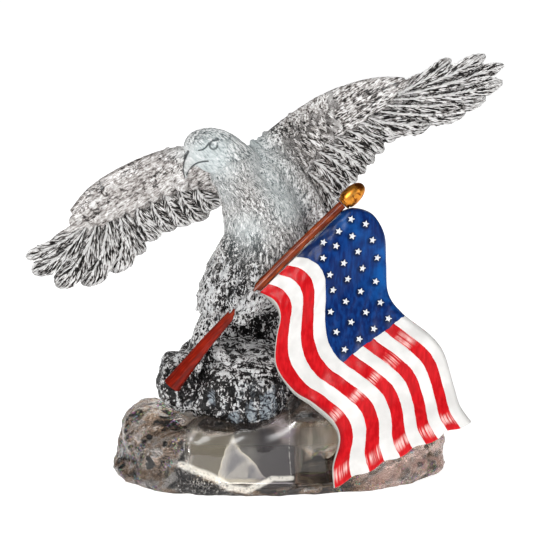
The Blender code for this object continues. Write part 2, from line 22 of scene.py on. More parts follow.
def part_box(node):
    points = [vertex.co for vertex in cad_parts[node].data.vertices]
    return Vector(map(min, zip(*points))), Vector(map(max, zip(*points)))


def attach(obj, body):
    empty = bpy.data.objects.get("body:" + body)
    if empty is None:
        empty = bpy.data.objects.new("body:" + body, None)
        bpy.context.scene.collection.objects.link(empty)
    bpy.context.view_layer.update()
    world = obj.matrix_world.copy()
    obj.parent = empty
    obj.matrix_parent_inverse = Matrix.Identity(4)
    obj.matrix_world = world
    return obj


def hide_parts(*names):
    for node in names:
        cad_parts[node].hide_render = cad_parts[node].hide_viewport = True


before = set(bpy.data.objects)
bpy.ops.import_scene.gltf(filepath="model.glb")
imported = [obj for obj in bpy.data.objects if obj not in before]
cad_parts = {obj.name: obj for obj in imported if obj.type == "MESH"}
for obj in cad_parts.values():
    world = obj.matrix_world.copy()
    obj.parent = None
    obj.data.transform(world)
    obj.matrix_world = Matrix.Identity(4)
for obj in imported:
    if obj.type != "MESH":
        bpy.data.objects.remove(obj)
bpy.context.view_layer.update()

print("packed nodes:", ", ".join(sorted(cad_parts)))

# %% [markdown]
# ## Sizes
#
# The carving is written in figure units, which are one millimetre at the real size. That
# keeps the numbers short enough to picture: the left wing tip is at -109, the top of the head
# at 163. What has to fit another piece is written in metres. A clearance of at least 0.3 mm
# is left round every piece that sits in another.
#
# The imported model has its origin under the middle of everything, and the figure's own origin
# is under the eagle. The light unit is a plain block whose place is known in both, so the
# shift between the two is read from it.

# %% Sizes and the shift from figure units to the frame
UNIT = 0.001
MM = 1000
CLEARANCE = 0.0003
LIGHT_UNIT_CENTRE = (-9, -5)

low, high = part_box("light_unit")
SHIFT = (low + high) / 2 - Vector((*LIGHT_UNIT_CENTRE, 0)) * UNIT
SHIFT.z = 0
TO_FRAME = Matrix.Translation(SHIFT)
print("figure origin in the frame, mm:", [round(s * MM, 2) for s in SHIFT])

# %% [markdown]
# ## Node trees as Python
#
# Shaders and geometry trees are long lists of nodes and links. One small class wraps a socket
# and overloads the arithmetic operators, so that `1 - mask * 0.5` builds its own Math nodes.
# Every other node comes from one function that sets the node's options, then its inputs.

# %% A socket that maths can be written on
class Wire:
    """One output socket of a node tree. Arithmetic on it adds Math nodes."""

    def __init__(self, tree, socket):
        self.tree = tree
        self.socket = socket

    def math(self, operation, *others):
        """A Math node on this value and others."""
        settings = {"operation": operation}
        values = dict(enumerate((self, *others)))
        return node(self.tree, "ShaderNodeMath", settings, values)

    def __add__(self, other):
        return self.math("ADD", other)

    def __sub__(self, other):
        return self.math("SUBTRACT", other)

    def __rsub__(self, other):
        return node(self.tree, "ShaderNodeMath", {"operation": "SUBTRACT"}, {0: other, 1: self})

    def __mul__(self, other):
        return self.math("MULTIPLY", other)

    def __truediv__(self, other):
        return self.math("DIVIDE", other)

    def __pow__(self, other):
        return self.math("POWER", other)

    def __abs__(self):
        return self.math("ABSOLUTE")

    def most(self, other):
        """The larger of two values."""
        return self.math("MAXIMUM", other)

    def least(self, other):
        """The smaller of two values."""
        return self.math("MINIMUM", other)

    __radd__ = __add__
    __rmul__ = __mul__

    def above(self, limit):
        """1 where the value is over a limit."""
        return self.math("GREATER_THAN", limit)

    def within_line(self, low, high):
        """The value brought from a range to 0 and 1, in a straight line."""
        return node(self.tree, "ShaderNodeMapRange", None, {0: self, 1: low, 2: high})

    def within(self, low, high):
        """The value brought from a range to 0 and 1, without sudden ends."""
        settings = {"interpolation_type": "SMOOTHSTEP"}
        return node(self.tree, "ShaderNodeMapRange", settings, {0: self, 1: low, 2: high})


def node(tree, kind, settings=None, inputs=None, output=0):
    """Adds a node, sets its options, then gives each input a value or a link."""
    made = tree.nodes.new(kind)
    for key, value in (settings or {}).items():
        if key == "stops":
            ramp = made.color_ramp.elements
            while len(ramp) < len(value):
                ramp.new(1)
            for element, (place, colour) in zip(ramp, value):
                element.position = place
                element.color = (*colour, 1)
        else:
            setattr(made, key, value)
    for key, value in (inputs or {}).items():
        socket = made.inputs[key]
        if isinstance(value, Wire):
            tree.links.new(value.socket, socket)
        elif socket.type == "RGBA" and len(value) == 3:
            socket.default_value = (*value, 1)
        else:
            socket.default_value = value
    return Wire(tree, made.outputs[output])


def mix(factor, first, second):
    """One colour changing into another."""
    settings = {"data_type": "RGBA"}
    values = {0: factor, 6: first, 7: second}
    return node(factor.tree, "ShaderNodeMix", settings, values, output=2)


print("node helpers ready")

# %% [markdown]
# ## Curves, limbs and rings
#
# Nearly every form here is a row of stations along a smooth curve, with a ring of points at
# each. The curve is a Catmull-Rom spline: it passes through the points that are written down,
# which makes a pose easy to correct.

# %% Helpers for lofted forms
def units(point):
    """A point of the carving in metres."""
    return Vector(point[:3]) * UNIT


def along(stations, share):
    """The values a share of the way along a smooth curve through the stations."""
    spans = len(stations) - 1
    at = min(int(share * spans), spans - 1)
    f = share * spans - at
    rows = [np.array(stations[min(max(at + k, 0), spans)], float) for k in (-1, 0, 1, 2)]
    before, here, there, after = rows
    return 0.5 * (
        2 * here
        + (there - before) * f
        + (2 * before - 5 * here + 4 * there - after) * f**2
        + (3 * here - before - 3 * there + after) * f**3
    )


def loft(rings):
    """A closed body through rings of points: its points and faces."""
    points = [p for ring in rings for p in ring]
    count = len(rings[0])
    faces = [tuple(reversed(range(count)))]
    for low in range(0, len(points) - count, count):
        for i in range(count):
            j = (i + 1) % count
            faces.append((low + i, low + j, low + count + j, low + count + i))
    faces.append(tuple(range(len(points) - count, len(points))))
    return points, faces


def across(axis, front):
    """The two directions across an axis: sideways, and towards the front."""
    forward = (front - axis * front.dot(axis)).normalized()
    return axis.cross(forward), forward


def limb(stations, steps=24, sides=32, front=(0, -1, 0)):
    """A rounded limb whose stations give its centre, half width and half depth."""
    rings = []
    for i in range(steps + 1):
        share = i / steps
        here = along(stations, share)
        ahead = along(stations, min(share + 0.02, 1)) - along(stations, max(share - 0.02, 0))
        side, forward = across(Vector(ahead[:3]).normalized(), Vector(front))
        centre = units(here)
        wide, deep = max(here[3], 0.4) * UNIT, max(here[4], 0.4) * UNIT
        ring = []
        for k in range(sides):
            a = 2 * math.pi * k / sides
            ring.append(centre + side * wide * math.cos(a) + forward * deep * math.sin(a))
        rings.append(ring)
    return loft(rings)


def add_object(name, data):
    """An object at the origin."""
    thing = bpy.data.objects.new(name, data)
    bpy.context.scene.collection.objects.link(thing)
    return thing


def add_mesh(name, points, faces=()):
    """A mesh object of points, or of points and faces."""
    mesh = bpy.data.meshes.new(name)
    mesh.from_pydata(points, [], faces)
    return add_object(name, mesh)


def new_object(name, points, faces):
    """A mesh object at the origin whose faces point outwards."""
    thing = add_mesh(name, points, faces)
    bm = bmesh.new()
    bm.from_mesh(thing.data)
    bmesh.ops.recalc_face_normals(bm, faces=bm.faces)
    bm.to_mesh(thing.data)
    bm.free()
    return thing


def block(name, reach, low, high):
    """A square block about the origin, between two levels."""
    corners = ((-reach, -reach), (reach, -reach), (reach, reach), (-reach, reach))
    return new_object(name, *loft([[Vector((x, y, z)) for x, y in corners] for z in (low, high)]))


def settle(thing):
    """Turns an object and its modifiers into a plain mesh, in place."""
    bpy.context.view_layer.update()
    shown = thing.evaluated_get(bpy.context.evaluated_depsgraph_get())
    mesh = bpy.data.meshes.new_from_object(shown)
    thing.modifiers.clear()
    thing.data = mesh
    return thing


def triangles(mesh):
    """A mesh's triangles as rows of point numbers."""
    mesh.calc_loop_triangles()
    flat = np.zeros(len(mesh.loop_triangles) * 3, np.int32)
    mesh.loop_triangles.foreach_get("vertices", flat)
    return flat.reshape(-1, 3)


def read(mesh, name="co"):
    """A mesh's points, its normals, or one of its point attributes, as an array."""
    if name in ("co", "normal"):
        flat = np.zeros(len(mesh.vertices) * 3, np.float32)
        mesh.vertices.foreach_get(name, flat)
        return flat.reshape(-1, 3).astype(float)
    layer = mesh.attributes[name]
    key, width = ("value", 1) if layer.data_type == "FLOAT" else ("vector", 3)
    flat = np.zeros(len(mesh.vertices) * width, np.float32)
    layer.data.foreach_get(key, flat)
    return flat.reshape(-1, width).astype(float)


def write(mesh, name, values):
    """Stores one number or one vector for each point of a mesh."""
    kind, key = ("FLOAT", "value") if values.ndim == 1 else ("FLOAT_VECTOR", "vector")
    layer = mesh.attributes.get(name) or mesh.attributes.new(name, kind, "POINT")
    layer.data.foreach_set(key, values.astype(np.float32).ravel())


def give(modifier, **values):
    """Sets a modifier's inputs by the sockets' identifiers."""
    for item in modifier.node_group.interface.items_tree:
        key = item.name.replace(" ", "_")
        if item.in_out == "INPUT" and key in values:
            modifier[item.identifier] = values[key]


print("curve helpers ready")

# %% [markdown]
# ## The eagle's stations
#
# These are the figure's own proportions: the wing arms, the line that the quills start from,
# the tips of the flight feathers, and the limbs. Each limb's station is x, y, z, half width
# and half depth, in figure units, with X to the right, Y to the back and Z up.

# %% Wings
LEFT_ARM = (
    (-8, 2, 140, 12, 10),
    (-24, 7, 140, 11.5, 6),
    (-40, 11, 138.8, 11.5, 3.9),
    (-55, 13.5, 134, 11, 3.4),
    (-68, 13.5, 128.6, 9.8, 3.1),
    (-78.3, 11.5, 122.8, 8.4, 2.9),
    (-87.3, 8.7, 117, 4.8, 2.4),
)
RIGHT_ARM = (
    (-2, 0, 137, 14, 12),
    (7, 5, 145, 14, 7.5),
    (18, 9, 154.5, 13, 4.8),
    (31, 12.5, 163.5, 12, 3.8),
    (44, 14, 169.6, 10.8, 3.4),
    (56, 13, 174.2, 8.8, 3.1),
    (65.5, 11, 178, 4.8, 2.5),
)
RIGHT_SHOULDER = (
    (-6, -4, 140, 12, 11),
    (4, 1, 136, 13, 11),
    (13, 2.5, 128, 11, 6),
    (21, 4, 119, 8, 3.6),
    (25, 4.5, 112, 4.5, 2.6),
)
LEFT_ROOTS = (
    (-22, 6, 138),
    (-38, 11, 136),
    (-53, 13, 130),
    (-65, 13, 124),
    (-75, 11, 119),
    (-83, 10, 114),
)
RIGHT_ROOTS = (
    (2, 4, 132),
    (9, 7, 143),
    (19, 9, 152),
    (32, 12, 160),
    (43, 13, 166),
    (53, 12, 172),
    (59, 11, 174.3),
)
LEFT_TIPS = (
    (-20.5, 3, 124),
    (-27, 5, 117.5),
    (-34.5, 7, 114.5),
    (-42, 9, 111.5),
    (-51, 10, 106.5),
    (-58.5, 10, 99.5),
    (-69, 8, 91.5),
    (-83, 5, 86),
    (-95.5, 2, 86),
    (-106.5, 0, 93),
    (-109.5, -1, 100.6),
)
RIGHT_TIPS = (
    (14, 3, 105),
    (22, 3, 108.5),
    (29, 4, 115),
    (35.5, 5, 121.5),
    (38, 6, 130),
    (42.5, 7, 135),
    (46.5, 8, 139),
    (50.5, 9, 143.5),
    (55, 10, 148.5),
    (60.5, 10, 154.5),
    (66, 9, 158.6),
    (75.8, 6, 161.8),
    (92, 5, 168),
    (100.5, 3, 174),
    (107.8, 1, 181.4),
    (108, 0, 189.4),
    (99.8, 1, 193.5),
    (84.3, 3, 191.6),
)
print(len(LEFT_TIPS), "and", len(RIGHT_TIPS), "flight feathers")

# %% [markdown]
# The body, legs and head are limbs too. The brow and the eye are balls pressed into the skull,
# a toe is a chain of points with its own radii, and the far foot is the near one moved over.
# The perch is five boulders, each with its centre, its radii and a seed for its lumps.

# %% Body, legs, head and feet
TORSO = (
    (-13, -10, 149, 9, 10),
    (-11, -9, 141, 13, 12.5),
    (-4, -6, 132, 16, 15.5),
    (-1, -4, 121, 17, 17),
    (0, -3, 110, 17.5, 17),
    (-2, -2, 98, 18, 16.5),
    (-3, 2, 87, 16, 15),
    (-2, 7, 78, 9, 9),
)
NEAR_THIGH = (
    (-6, -4, 116, 9, 10),
    (-10, -7, 105, 11.5, 12.2),
    (-13.5, -10, 96, 12.3, 13),
    (-17.5, -12, 87, 11.5, 12),
    (-20.5, -13, 78, 9.5, 9.5),
)
NEAR_SHANK = (
    (-20.5, -12, 82, 6, 6),
    (-24.5, -13.5, 72, 6.3, 6),
    (-27, -15, 64, 6.5, 6.5),
    (-28, -16, 57, 7.5, 7.5),
)
FAR_THIGH = ((5, -4, 104, 12, 12), (10, -6, 92, 11, 11), (14, -8, 81, 8.5, 8.5))
FAR_SHANK = (
    (13.5, -8, 84, 6, 6),
    (15.5, -9, 74, 5.5, 5.5),
    (16, -11, 66, 6, 6),
    (15.5, -12, 57, 7, 7),
)
BELLY_TUFT = (
    (-2, -10, 114, 9, 8),
    (-3.4, -12, 104, 10, 9.5),
    (-5.2, -17.8, 93.5, 9.8, 9.2),
    (-9, -23, 84, 7.2, 8.6),
    (-12.5, -23, 76, 4, 5),
)
RUMP = ((-3, 4, 100, 14, 12), (-4, 9, 86, 14, 9), (-5, 15, 70, 15, 5.5), (-5, 18, 54, 15, 4.5))
SKULL = (
    (-7, -7, 143.2, 7.5, 8.5),
    (-13.5, -10.3, 147.6, 8.9, 9.2),
    (-20.5, -12.5, 151.9, 9.7, 9.4),
    (-26.8, -14.3, 153.4, 9.3, 8.7),
    (-32.3, -15.7, 152.6, 7.2, 6.6),
    (-35.4, -16.5, 151.6, 2.6, 2.4),
)
BEAK = (
    (-27, -15.5, 150.5, 5, 4.6),
    (-31.3, -17, 149.8, 4.4, 3.9),
    (-33.8, -18, 147.6, 2.8, 2.7),
    (-35.2, -18.7, 144.2, 1.6, 1.7),
    (-35.2, -19, 140.6, 0.7, 0.8),
)
JAW = ((-20, -14, 146.5, 5.5, 5.5), (-25, -16, 146.6, 3.8, 3.8), (-29.5, -17, 147.2, 1.6, 1.8))
BROW_CENTRE = (-25, -21, 158)
BROW_RADII = (5, 2, 1.2)
EYE_CENTRE = (-22.6, -21.4, 156.2)
EYE_RADIUS = 1.7
TOES = (
    ((-29, -15, 58.5), (-34, -19, 58.5), (-39.5, -22, 57.5), (-43.5, -24, 55)),
    ((-28, -16, 60), (-29, -22, 61), (-30, -27, 59.5), (-30, -30.5, 54.5)),
    ((-27, -15, 60), (-23.5, -20, 61), (-19, -24, 60), (-15.5, -26.5, 56.5)),
    ((-28, -12, 60), (-29.5, -7, 61), (-31, -3, 60.5), (-31, 0, 58)),
)
TOE_RADII = (4.2, 3, 2.7, 1.3)
FAR_FOOT_SHIFT = (43, 4, -3)
TAIL_ROOT = (-4, 15, 92)
TAIL_TIP_CENTRE = (-4, 31, 40)
TAIL_BLADES = 6
TAIL_SPREAD = 38
PERCH_BOULDERS = (
    ((-37.5, -10, 44.8), (11, 16, 13), 2),
    ((-11, -9, 41), (24, 26, 17.5), 5),
    ((-8, -8, 52.5), (23, 21, 6.5), 8),
    ((10, 3, 42), (21, 24, 17), 11),
    ((-16, 8, 44), (26, 19, 17), 14),
)
PERCH_ROUGHNESS = 1.8
top_of_head = max(station[2] + station[3] for station in SKULL)
print("the head reaches", round(top_of_head), "mm above the table")

# %% [markdown]
# ## The pole and its finial
#
# The pole is a painted rod with a flared butt, and the finial is a gilt acorn on a collar. Both
# are turned forms, so a profile of radii runs along a line and is closed at its ends. The
# Screw modifier would do for a straight axis, but the pole bends a little, so its rings follow
# the same curve that the flag's hoist follows.

# %% Turn the pole and the finial
POLE_RADIUS = 0.0020
POLE_BUTT_RADIUS = 0.0040
FINIAL_LENGTH = 0.0126
FINIAL_RADIUS = 0.0042
POLE_PATH = (
    (-42, -29.5, 47.6),
    (-24, -28.7, 69.9),
    (-5, -27, 90.4),
    (14.5, -23, 109.7),
    (35, -18.5, 128.8),
)
BUTT_FACETS = 8


def turned(path, profile, sides, facets=0.0):
    """A body turned about a path: shares of its length and radii, with a few soft facets."""
    rings = []
    for share, radius in profile:
        ahead = Vector(along(path, min(share + 0.02, 1)) - along(path, max(share - 0.02, 0)))
        side, forward = across(ahead.normalized(), Vector((0, -1, 0)))
        centre = Vector(along(path, share))
        ring = []
        for k in range(sides):
            a = 2 * math.pi * (k + 0.5) / sides
            r = radius * (1 - facets * (1 - abs(math.cos(a * BUTT_FACETS / 2))))
            ring.append(centre + (side * math.cos(a) + forward * math.sin(a)) * r)
        rings.append(ring)
    return loft(rings)


def smooth_profile(shape, steps):
    """A profile with more stations, read from a smooth curve through the given ones."""
    return [tuple(along(shape, k / steps)) for k in range(steps + 1)]


def pole_profile(extra=0.0, steps=60):
    """The pole's taper: a flared butt, then a straight shaft."""
    shape = ((0, 1.0), (0.02, 1.0), (0.1, 0.72), (0.2, 0.44), (0.3, 0.2), (0.4, 0.06))
    shape += tuple((k / 10, 0.0) for k in (5, 6, 7, 8, 9, 10))
    spare = POLE_BUTT_RADIUS - POLE_RADIUS
    return [(s, POLE_RADIUS + flare * spare + extra) for s, flare in smooth_profile(shape, steps)]


def finial_profile():
    """The finial: a round collar, a shallow neck, then the acorn."""
    collar = ((0, 0.60), (0.02, 0.68), (0.06, 0.75), (0.11, 0.75), (0.14, 0.70))
    acorn = ((0.17, 0.86), (0.26, 0.96), (0.42, 1.0), (0.6, 0.93), (0.76, 0.76), (0.9, 0.48))
    tip = ((0.97, 0.24), (1, 0.05))
    shape = smooth_profile(collar, 12) + smooth_profile(acorn + tip, 28)
    return [(share, radius * FINIAL_RADIUS) for share, radius in shape]


def dress(thing, material, slot, *stands_for):
    """Gives a finished piece its material and its body, and hides the packed parts it stands for.
    The slot is not used.
    """
    thing.data.transform(TO_FRAME)
    thing.data.materials.clear()
    thing.data.materials.append(material)
    thing.data.shade_smooth()
    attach(thing, "root")
    if stands_for:
        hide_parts(*stands_for)
    size = np.ptp(read(thing.data), axis=0) * MM
    print(thing.name, size.round(1), "mm,", len(triangles(thing.data)), "triangles")
    return thing


pole_line = [units(p) for p in POLE_PATH]
pole_axis = (pole_line[-1] - pole_line[-2]).normalized()
finial_line = (
    pole_line[-1] + pole_axis * CLEARANCE,
    pole_line[-1] + pole_axis * (CLEARANCE + FINIAL_LENGTH),
)
flagpole = new_object("painted_flagpole", *turned(pole_line, pole_profile(), 48, facets=0.09))
finial = new_object("gilt_finial", *turned(finial_line, finial_profile(), 48))

# %% [markdown]
# ## Paint and gilt
#
# The pole is brushed with a red-brown enamel with darker streaks along its length, and the finial
# with gold paint, with painted shade in dark brown patches and painted highlights along its
# strokes. Both stay shiny, with faint brush marks.

# %% Materials of the pole and the finial
POLE_TURN = (0, math.radians(-46), 0)
RED_BROWN = ((0.17, 0.007, 0.002), (0.30, 0.014, 0.003))
BROWN = ((0.16, 0.018, 0.003), (0.33, 0.056, 0.006))
DARKER_STREAK_PAINT = (0.070, 0.005, 0.002)
GOLD = (0.66, 0.26, 0.035)
GOLD_PAINTED_SHADE = (0.20, 0.050, 0.006)
GOLD_PAINTED_HIGHLIGHT = (0.95, 0.50, 0.12)


def new_material(name, **plain):
    """A material with a Principled shader, whose plain values are set on its own sockets."""
    material = bpy.data.materials.new(name)
    material.use_nodes = True
    tree = material.node_tree
    shader = tree.nodes["Principled BSDF"]
    for socket, value in plain.items():
        shader.inputs[socket.replace("_", " ")].default_value = value
    here = node(tree, "ShaderNodeTexCoord", output=3)
    return material, shader, here


def feed(shader, **wires):
    """Links wires to the shader's sockets."""
    for socket, wire in wires.items():
        wire.tree.links.new(wire.socket, shader.inputs[socket.replace("_", " ")])


def stretched(place, scale, turn=(0, 0, 0)):
    """Coordinates turned, then stretched, for a pattern with a direction."""
    values = {"Vector": place, "Rotation": turn, "Scale": scale}
    return node(place.tree, "ShaderNodeMapping", {"vector_type": "TEXTURE"}, values)


def speckle(place, scale, detail, **more):
    """Noise from 0 to 1. The scale is in lumps a metre."""
    values = {"Vector": place, "Scale": scale, "Detail": detail, **more}
    return node(place.tree, "ShaderNodeTexNoise", None, values)


def bump(height, depth, strength):
    """A bump from a height between 0 and 1, for a relief of a depth in metres."""
    values = {"Strength": strength, "Distance": depth, "Height": height}
    return node(height.tree, "ShaderNodeBump", None, values)


def spread_out(vector):
    """The x, y and z of a vector."""
    kind = "ShaderNodeSeparateXYZ"
    return [node(vector.tree, kind, None, {0: vector}, output=n) for n in range(3)]


def carried_vector(here, name):
    """A vector that the mesh's points carry."""
    return node(here.tree, "ShaderNodeAttribute", {"attribute_name": name}, output=1)


def carried_number(here, name):
    """A number that the mesh's points carry."""
    return node(here.tree, "ShaderNodeAttribute", {"attribute_name": name}, output=2)


def parts(here, name):
    """The three numbers of a vector that the points carry."""
    return spread_out(carried_vector(here, name))


def in_figure(here):
    """Object coordinates in figure units."""
    kind = "ShaderNodeVectorMath"
    moved = node(here.tree, kind, {"operation": "SUBTRACT"}, {0: here, 1: SHIFT})
    return spread_out(node(here.tree, kind, {"operation": "SCALE"}, {0: moved, "Scale": MM}))


def pole_paint():
    """Red-brown enamel with brush marks, browner towards the top."""
    material, shader, here = new_material(
        "pole_paint", Coat_Weight=0.14, Coat_Roughness=0.02, Specular_IOR_Level=0.08
    )
    brushed = speckle(stretched(here, (9, 1, 1), POLE_TURN), 1300, 4)
    # Darker streaks that run along the pole.
    darker_streaks = speckle(stretched(here, (6, 1, 1), POLE_TURN), 500, 2).within(0.42, 0.62)
    _, _, z = in_figure(here)
    marks = brushed.within(0.35, 0.65)
    paint = mix(z.within(75, 92), mix(marks, *RED_BROWN), mix(marks, *BROWN))
    paint = mix(darker_streaks * 0.6, paint, DARKER_STREAK_PAINT)
    feed(shader, Base_Color=paint, Roughness=0.15 + brushed * 0.1)
    feed(shader, Normal=bump(brushed, 0.0001, 0.5))
    return material


def gilt():
    """Gold paint, with painted shade in dark brown patches and painted highlights in strokes."""
    material, shader, here = new_material("finial_gilt", Metallic=1.0)
    gold_shade_patches = speckle(here, 380, 3, Distortion=0.8).within(0.45, 0.62)
    strokes = speckle(stretched(here, (4, 1, 1), POLE_TURN), 700, 3)
    # Dark brown patches are painted shade, and brighter strokes are painted highlights.
    colour = mix(gold_shade_patches, GOLD, GOLD_PAINTED_SHADE)
    colour = mix(strokes.within(0.55, 0.75) * 0.4, colour, GOLD_PAINTED_HIGHLIGHT)
    feed(shader, Base_Color=colour, Roughness=0.30 + strokes * 0.15)
    feed(shader, Normal=bump(strokes + gold_shade_patches, 0.0001, 0.3))
    return material


dress(flagpole, pole_paint(), "pole_paint", "flagpole")
dress(finial, gilt(), "finial_gilt", "finial")

# %% [markdown]
# ## The flag
#
# The flag is a thick casting, painted on both faces and left pale on its edges. It hangs from
# the pole and swells into ridges that catch the light. A point on it is named by u, from the
# pole to the free end, and v, from the low edge to the high one. Both run along smooth curves,
# so one grid in u and v gives the cloth, and the same numbers give the stripes their place.
# The cloth droops and swings round in several bends, so each edge has eleven points or more.
#
# Cloth simulation isn't needed: this is a hard piece whose folds never move.

# %% Model the flag
FLAG_THICKNESS = 0.0032
HOIST_LOW = 0.515
HOIST_HIGH = 0.965
FLAG_LOW_EDGE = (
    (4.5, -30, 87),
    (7, -33, 80.5),
    (5.2, -35, 70.5),
    (5.2, -37.5, 58.5),
    (13, -39.5, 48),
    (22.5, -41, 42.5),
    (30.5, -43, 35),
    (33.5, -44, 26.5),
    (30.5, -45, 14.5),
    (31, -46, 5),
)
FLAG_HIGH_EDGE = (
    (40.5, -19.5, 127.3),
    (48.5, -20.5, 124.5),
    (54, -20, 115),
    (55, -20, 102),
    (55.8, -24, 89),
    (61.8, -28, 81),
    (74, -32, 72.2),
    (80.6, -33, 63.5),
    (85, -33, 49.5),
    (88, -35, 40),
    (93, -37, 32.8),
)
FLAG_RIDGES = ((0.12, 0.8), (0.34, -2.0), (0.62, 3.0), (0.77, -1.6), (0.90, 2.2))
END_WAVE = 0.016
SIDE_LEANS = ((0.10, 0.09, 0.030), (0.62, 0.16, 0.036))
FLAG_RIDGE_SPREAD = 0.075
CAST_ALONG = 22
CAST_ACROSS = 10


def hoist(share):
    """The middle of the flag's edge, where it meets the pole: x, y, z."""
    here = Vector(along(POLE_PATH, share))
    ahead = Vector(along(POLE_PATH, min(share + 0.02, 1)) - along(POLE_PATH, share - 0.02))
    beside = ahead.cross(Vector((0, -1, 0))).normalized()
    return tuple(here + beside * (POLE_RADIUS + CLEARANCE / 6) / UNIT)


LOW_EDGE = (hoist(HOIST_LOW), *FLAG_LOW_EDGE)
HIGH_EDGE = (hoist(HOIST_HIGH), *FLAG_HIGH_EDGE)


def flag_point(u, v, depth=0.0):
    """A point of the flag, from its u and v and a depth behind its front."""
    low, high = along(LOW_EDGE, u), along(HIGH_EDGE, u)
    spot = units(low * (1 - v) + high * v)
    swell = sum(h * math.exp(-(((u - at) / FLAG_RIDGE_SPREAD) ** 2)) for at, h in FLAG_RIDGES)
    swell *= 0.35 + 0.65 * math.sin(math.pi * min(max(0.15 + 0.7 * v, 0), 1))
    spot.y += depth - FLAG_THICKNESS / 2 - swell * UNIT * min(u / 0.06, 1)
    return spot


def slab(front, back, columns, rows):
    """A closed sheet between two grids of points."""
    points, faces = front + back, []
    size = len(front)

    def at(i, j, behind):
        return i * (rows + 1) + j + size * behind

    for i in range(columns):
        for j in range(rows):
            quad = [at(i, j, 0), at(i + 1, j, 0), at(i + 1, j + 1, 0), at(i, j + 1, 0)]
            faces.append(tuple(quad))
            faces.append(tuple(q + size for q in reversed(quad)))
    rim = [(i, 0) for i in range(columns)] + [(columns, j) for j in range(rows)]
    rim += [(i, rows) for i in range(columns, 0, -1)] + [(0, j) for j in range(rows, 0, -1)]
    for (i, j), (k, l) in zip(rim, rim[1:] + rim[:1]):
        faces.append((at(k, l, 0), at(i, j, 0), at(i, j, 1), at(k, l, 1)))
    return points, faces


def edge_drop(u, v):
    """How far the front sinks towards the back at the rounded edges, from 0 to 1."""
    near = min(v / 0.03, (1 - v) / 0.03, (1 - u) / 0.025, 1)
    return 1 - math.sqrt(max(1 - (1 - near) ** 2, 0))


def flag_cloth(columns, rows):
    """The flag's front with rounded edges, its back, and the u and v of each point."""
    front, back, places = [], [], []
    for i in range(columns + 1):
        for j in range(rows + 1):
            u, v = i / columns, j / rows
            wave = 0.00018 * math.sin(u * 70 + v * 9) * math.sin(v * 31 + u * 13)
            drop = edge_drop(u, v) * FLAG_THICKNESS * 0.62
            end = u * (1 + END_WAVE * u**8 * math.sin(2 * math.pi * (v * 4.4 + 0.1)))
            lean = sum(h * math.exp(-(((u - at) / wide) ** 2)) for at, wide, h in SIDE_LEANS)
            side = v - lean * (1 - v) ** 9 * min(u / 0.03, 1)
            front.append(flag_point(end, v, drop + max(wave, -0.0001) + 0.0001))
            back.append(flag_point(end, side, FLAG_THICKNESS))
            places.append((u, v, 0))
    return slab(front, back, columns, rows), places + [(u, v, 1) for u, v, _ in places]


(flag_points, flag_faces), flag_places = flag_cloth(240, 110)
flag = new_object("painted_flag", flag_points, flag_faces)
write(flag.data, "cloth_place", np.array(flag_places))

# %% [markdown]
# ## Stars
#
# The stars stand a little proud of the blue field. One star is made, and Geometry Nodes puts a
# copy on each point of a staggered grid. Each point carries the slope of the cloth there, so
# the star lies on the ridge that it is on.
#
# The tree that copies a shape to points is written once, with its shape, its finish and one
# number as inputs, because the feathers are set in the same way further on.

# %% Place the stars
STAR_RADIUS = 0.00175
STAR_RISE = 0.00035
STAR_ROWS = 7
STARS_ACROSS = 4
CANTON_END = 0.545
STAR_SHADE = (1.5, 2.6)
STAR_UP = Vector((0.25, 0, 1))


def star_mesh():
    """A five-pointed star that rises to a low peak, with a skirt that sinks into the cloth."""
    top = [Vector((0, 0, STAR_RISE))]
    for level, reach in ((STAR_RISE * 0.7, 0.92), (-STAR_RISE, 1.0)):
        for k in range(10):
            radius = STAR_RADIUS * reach * (1 if k % 2 == 0 else 0.47)
            a = math.pi * k / 5
            top.append(Vector((radius * math.sin(a), radius * math.cos(a), level)))
    faces = [(0, 1 + k, 1 + (k + 1) % 10) for k in range(10)]
    faces += [(1 + k, 11 + k, 11 + (k + 1) % 10, 1 + (k + 1) % 10) for k in range(10)]
    faces.append(tuple(range(20, 10, -1)))
    return new_object("star", top, faces)


def stored(tree, name):
    """A vector that each point carries."""
    settings = {"data_type": "FLOAT_VECTOR"}
    return node(tree, "GeometryNodeInputNamedAttribute", settings, {"Name": name})


def copying_tree(name, shape_name, number_name, number, axis_name, facing_name, size_of):
    """A tree that copies a shape to each point, turned by two directions that it carries."""
    tree = bpy.data.node_groups.new(name, "GeometryNodeTree")
    labels = ("Points", shape_name, "Finish", number_name)
    for label, kind in zip(labels, ("Geometry", "Object", "Material", "Float")):
        made = tree.interface.new_socket(label, in_out="INPUT", socket_type="NodeSocket" + kind)
    made.default_value = number
    tree.interface.new_socket("Copies", in_out="OUTPUT", socket_type="NodeSocketGeometry")
    given = tree.nodes.new("NodeGroupInput")
    points, shape, finish, value = [Wire(tree, given.outputs[i]) for i in range(4)]

    mesh = node(tree, "GeometryNodeObjectInfo", None, {"Object": shape}, output=4)
    axes = {0: stored(tree, axis_name), 1: stored(tree, facing_name)}
    settings = {"primary_axis": "Z", "secondary_axis": "Y"}
    turn = node(tree, "FunctionNodeAxesToRotation", settings, axes)
    placing = {"Points": points, "Instance": mesh, "Rotation": turn, "Scale": size_of(tree, value)}
    copies = node(tree, "GeometryNodeInstanceOnPoints", None, placing)
    real = node(tree, "GeometryNodeRealizeInstances", None, {0: copies})
    dressed = node(tree, "GeometryNodeSetMaterial", None, {0: real, "Material": finish})
    out = tree.nodes.new("NodeGroupOutput")
    tree.links.new(dressed.socket, out.inputs[0])
    return tree


def scatter(name, tree, spots, carried, **inputs):
    """One mesh of copies, on points that carry the named vectors."""
    thing = add_mesh(name, spots)
    for label, vectors in carried.items():
        write(thing.data, label, np.array(vectors, float))
    copier = thing.modifiers.new("copies", "NODES")
    copier.node_group = tree
    give(copier, **inputs)
    return settle(thing)


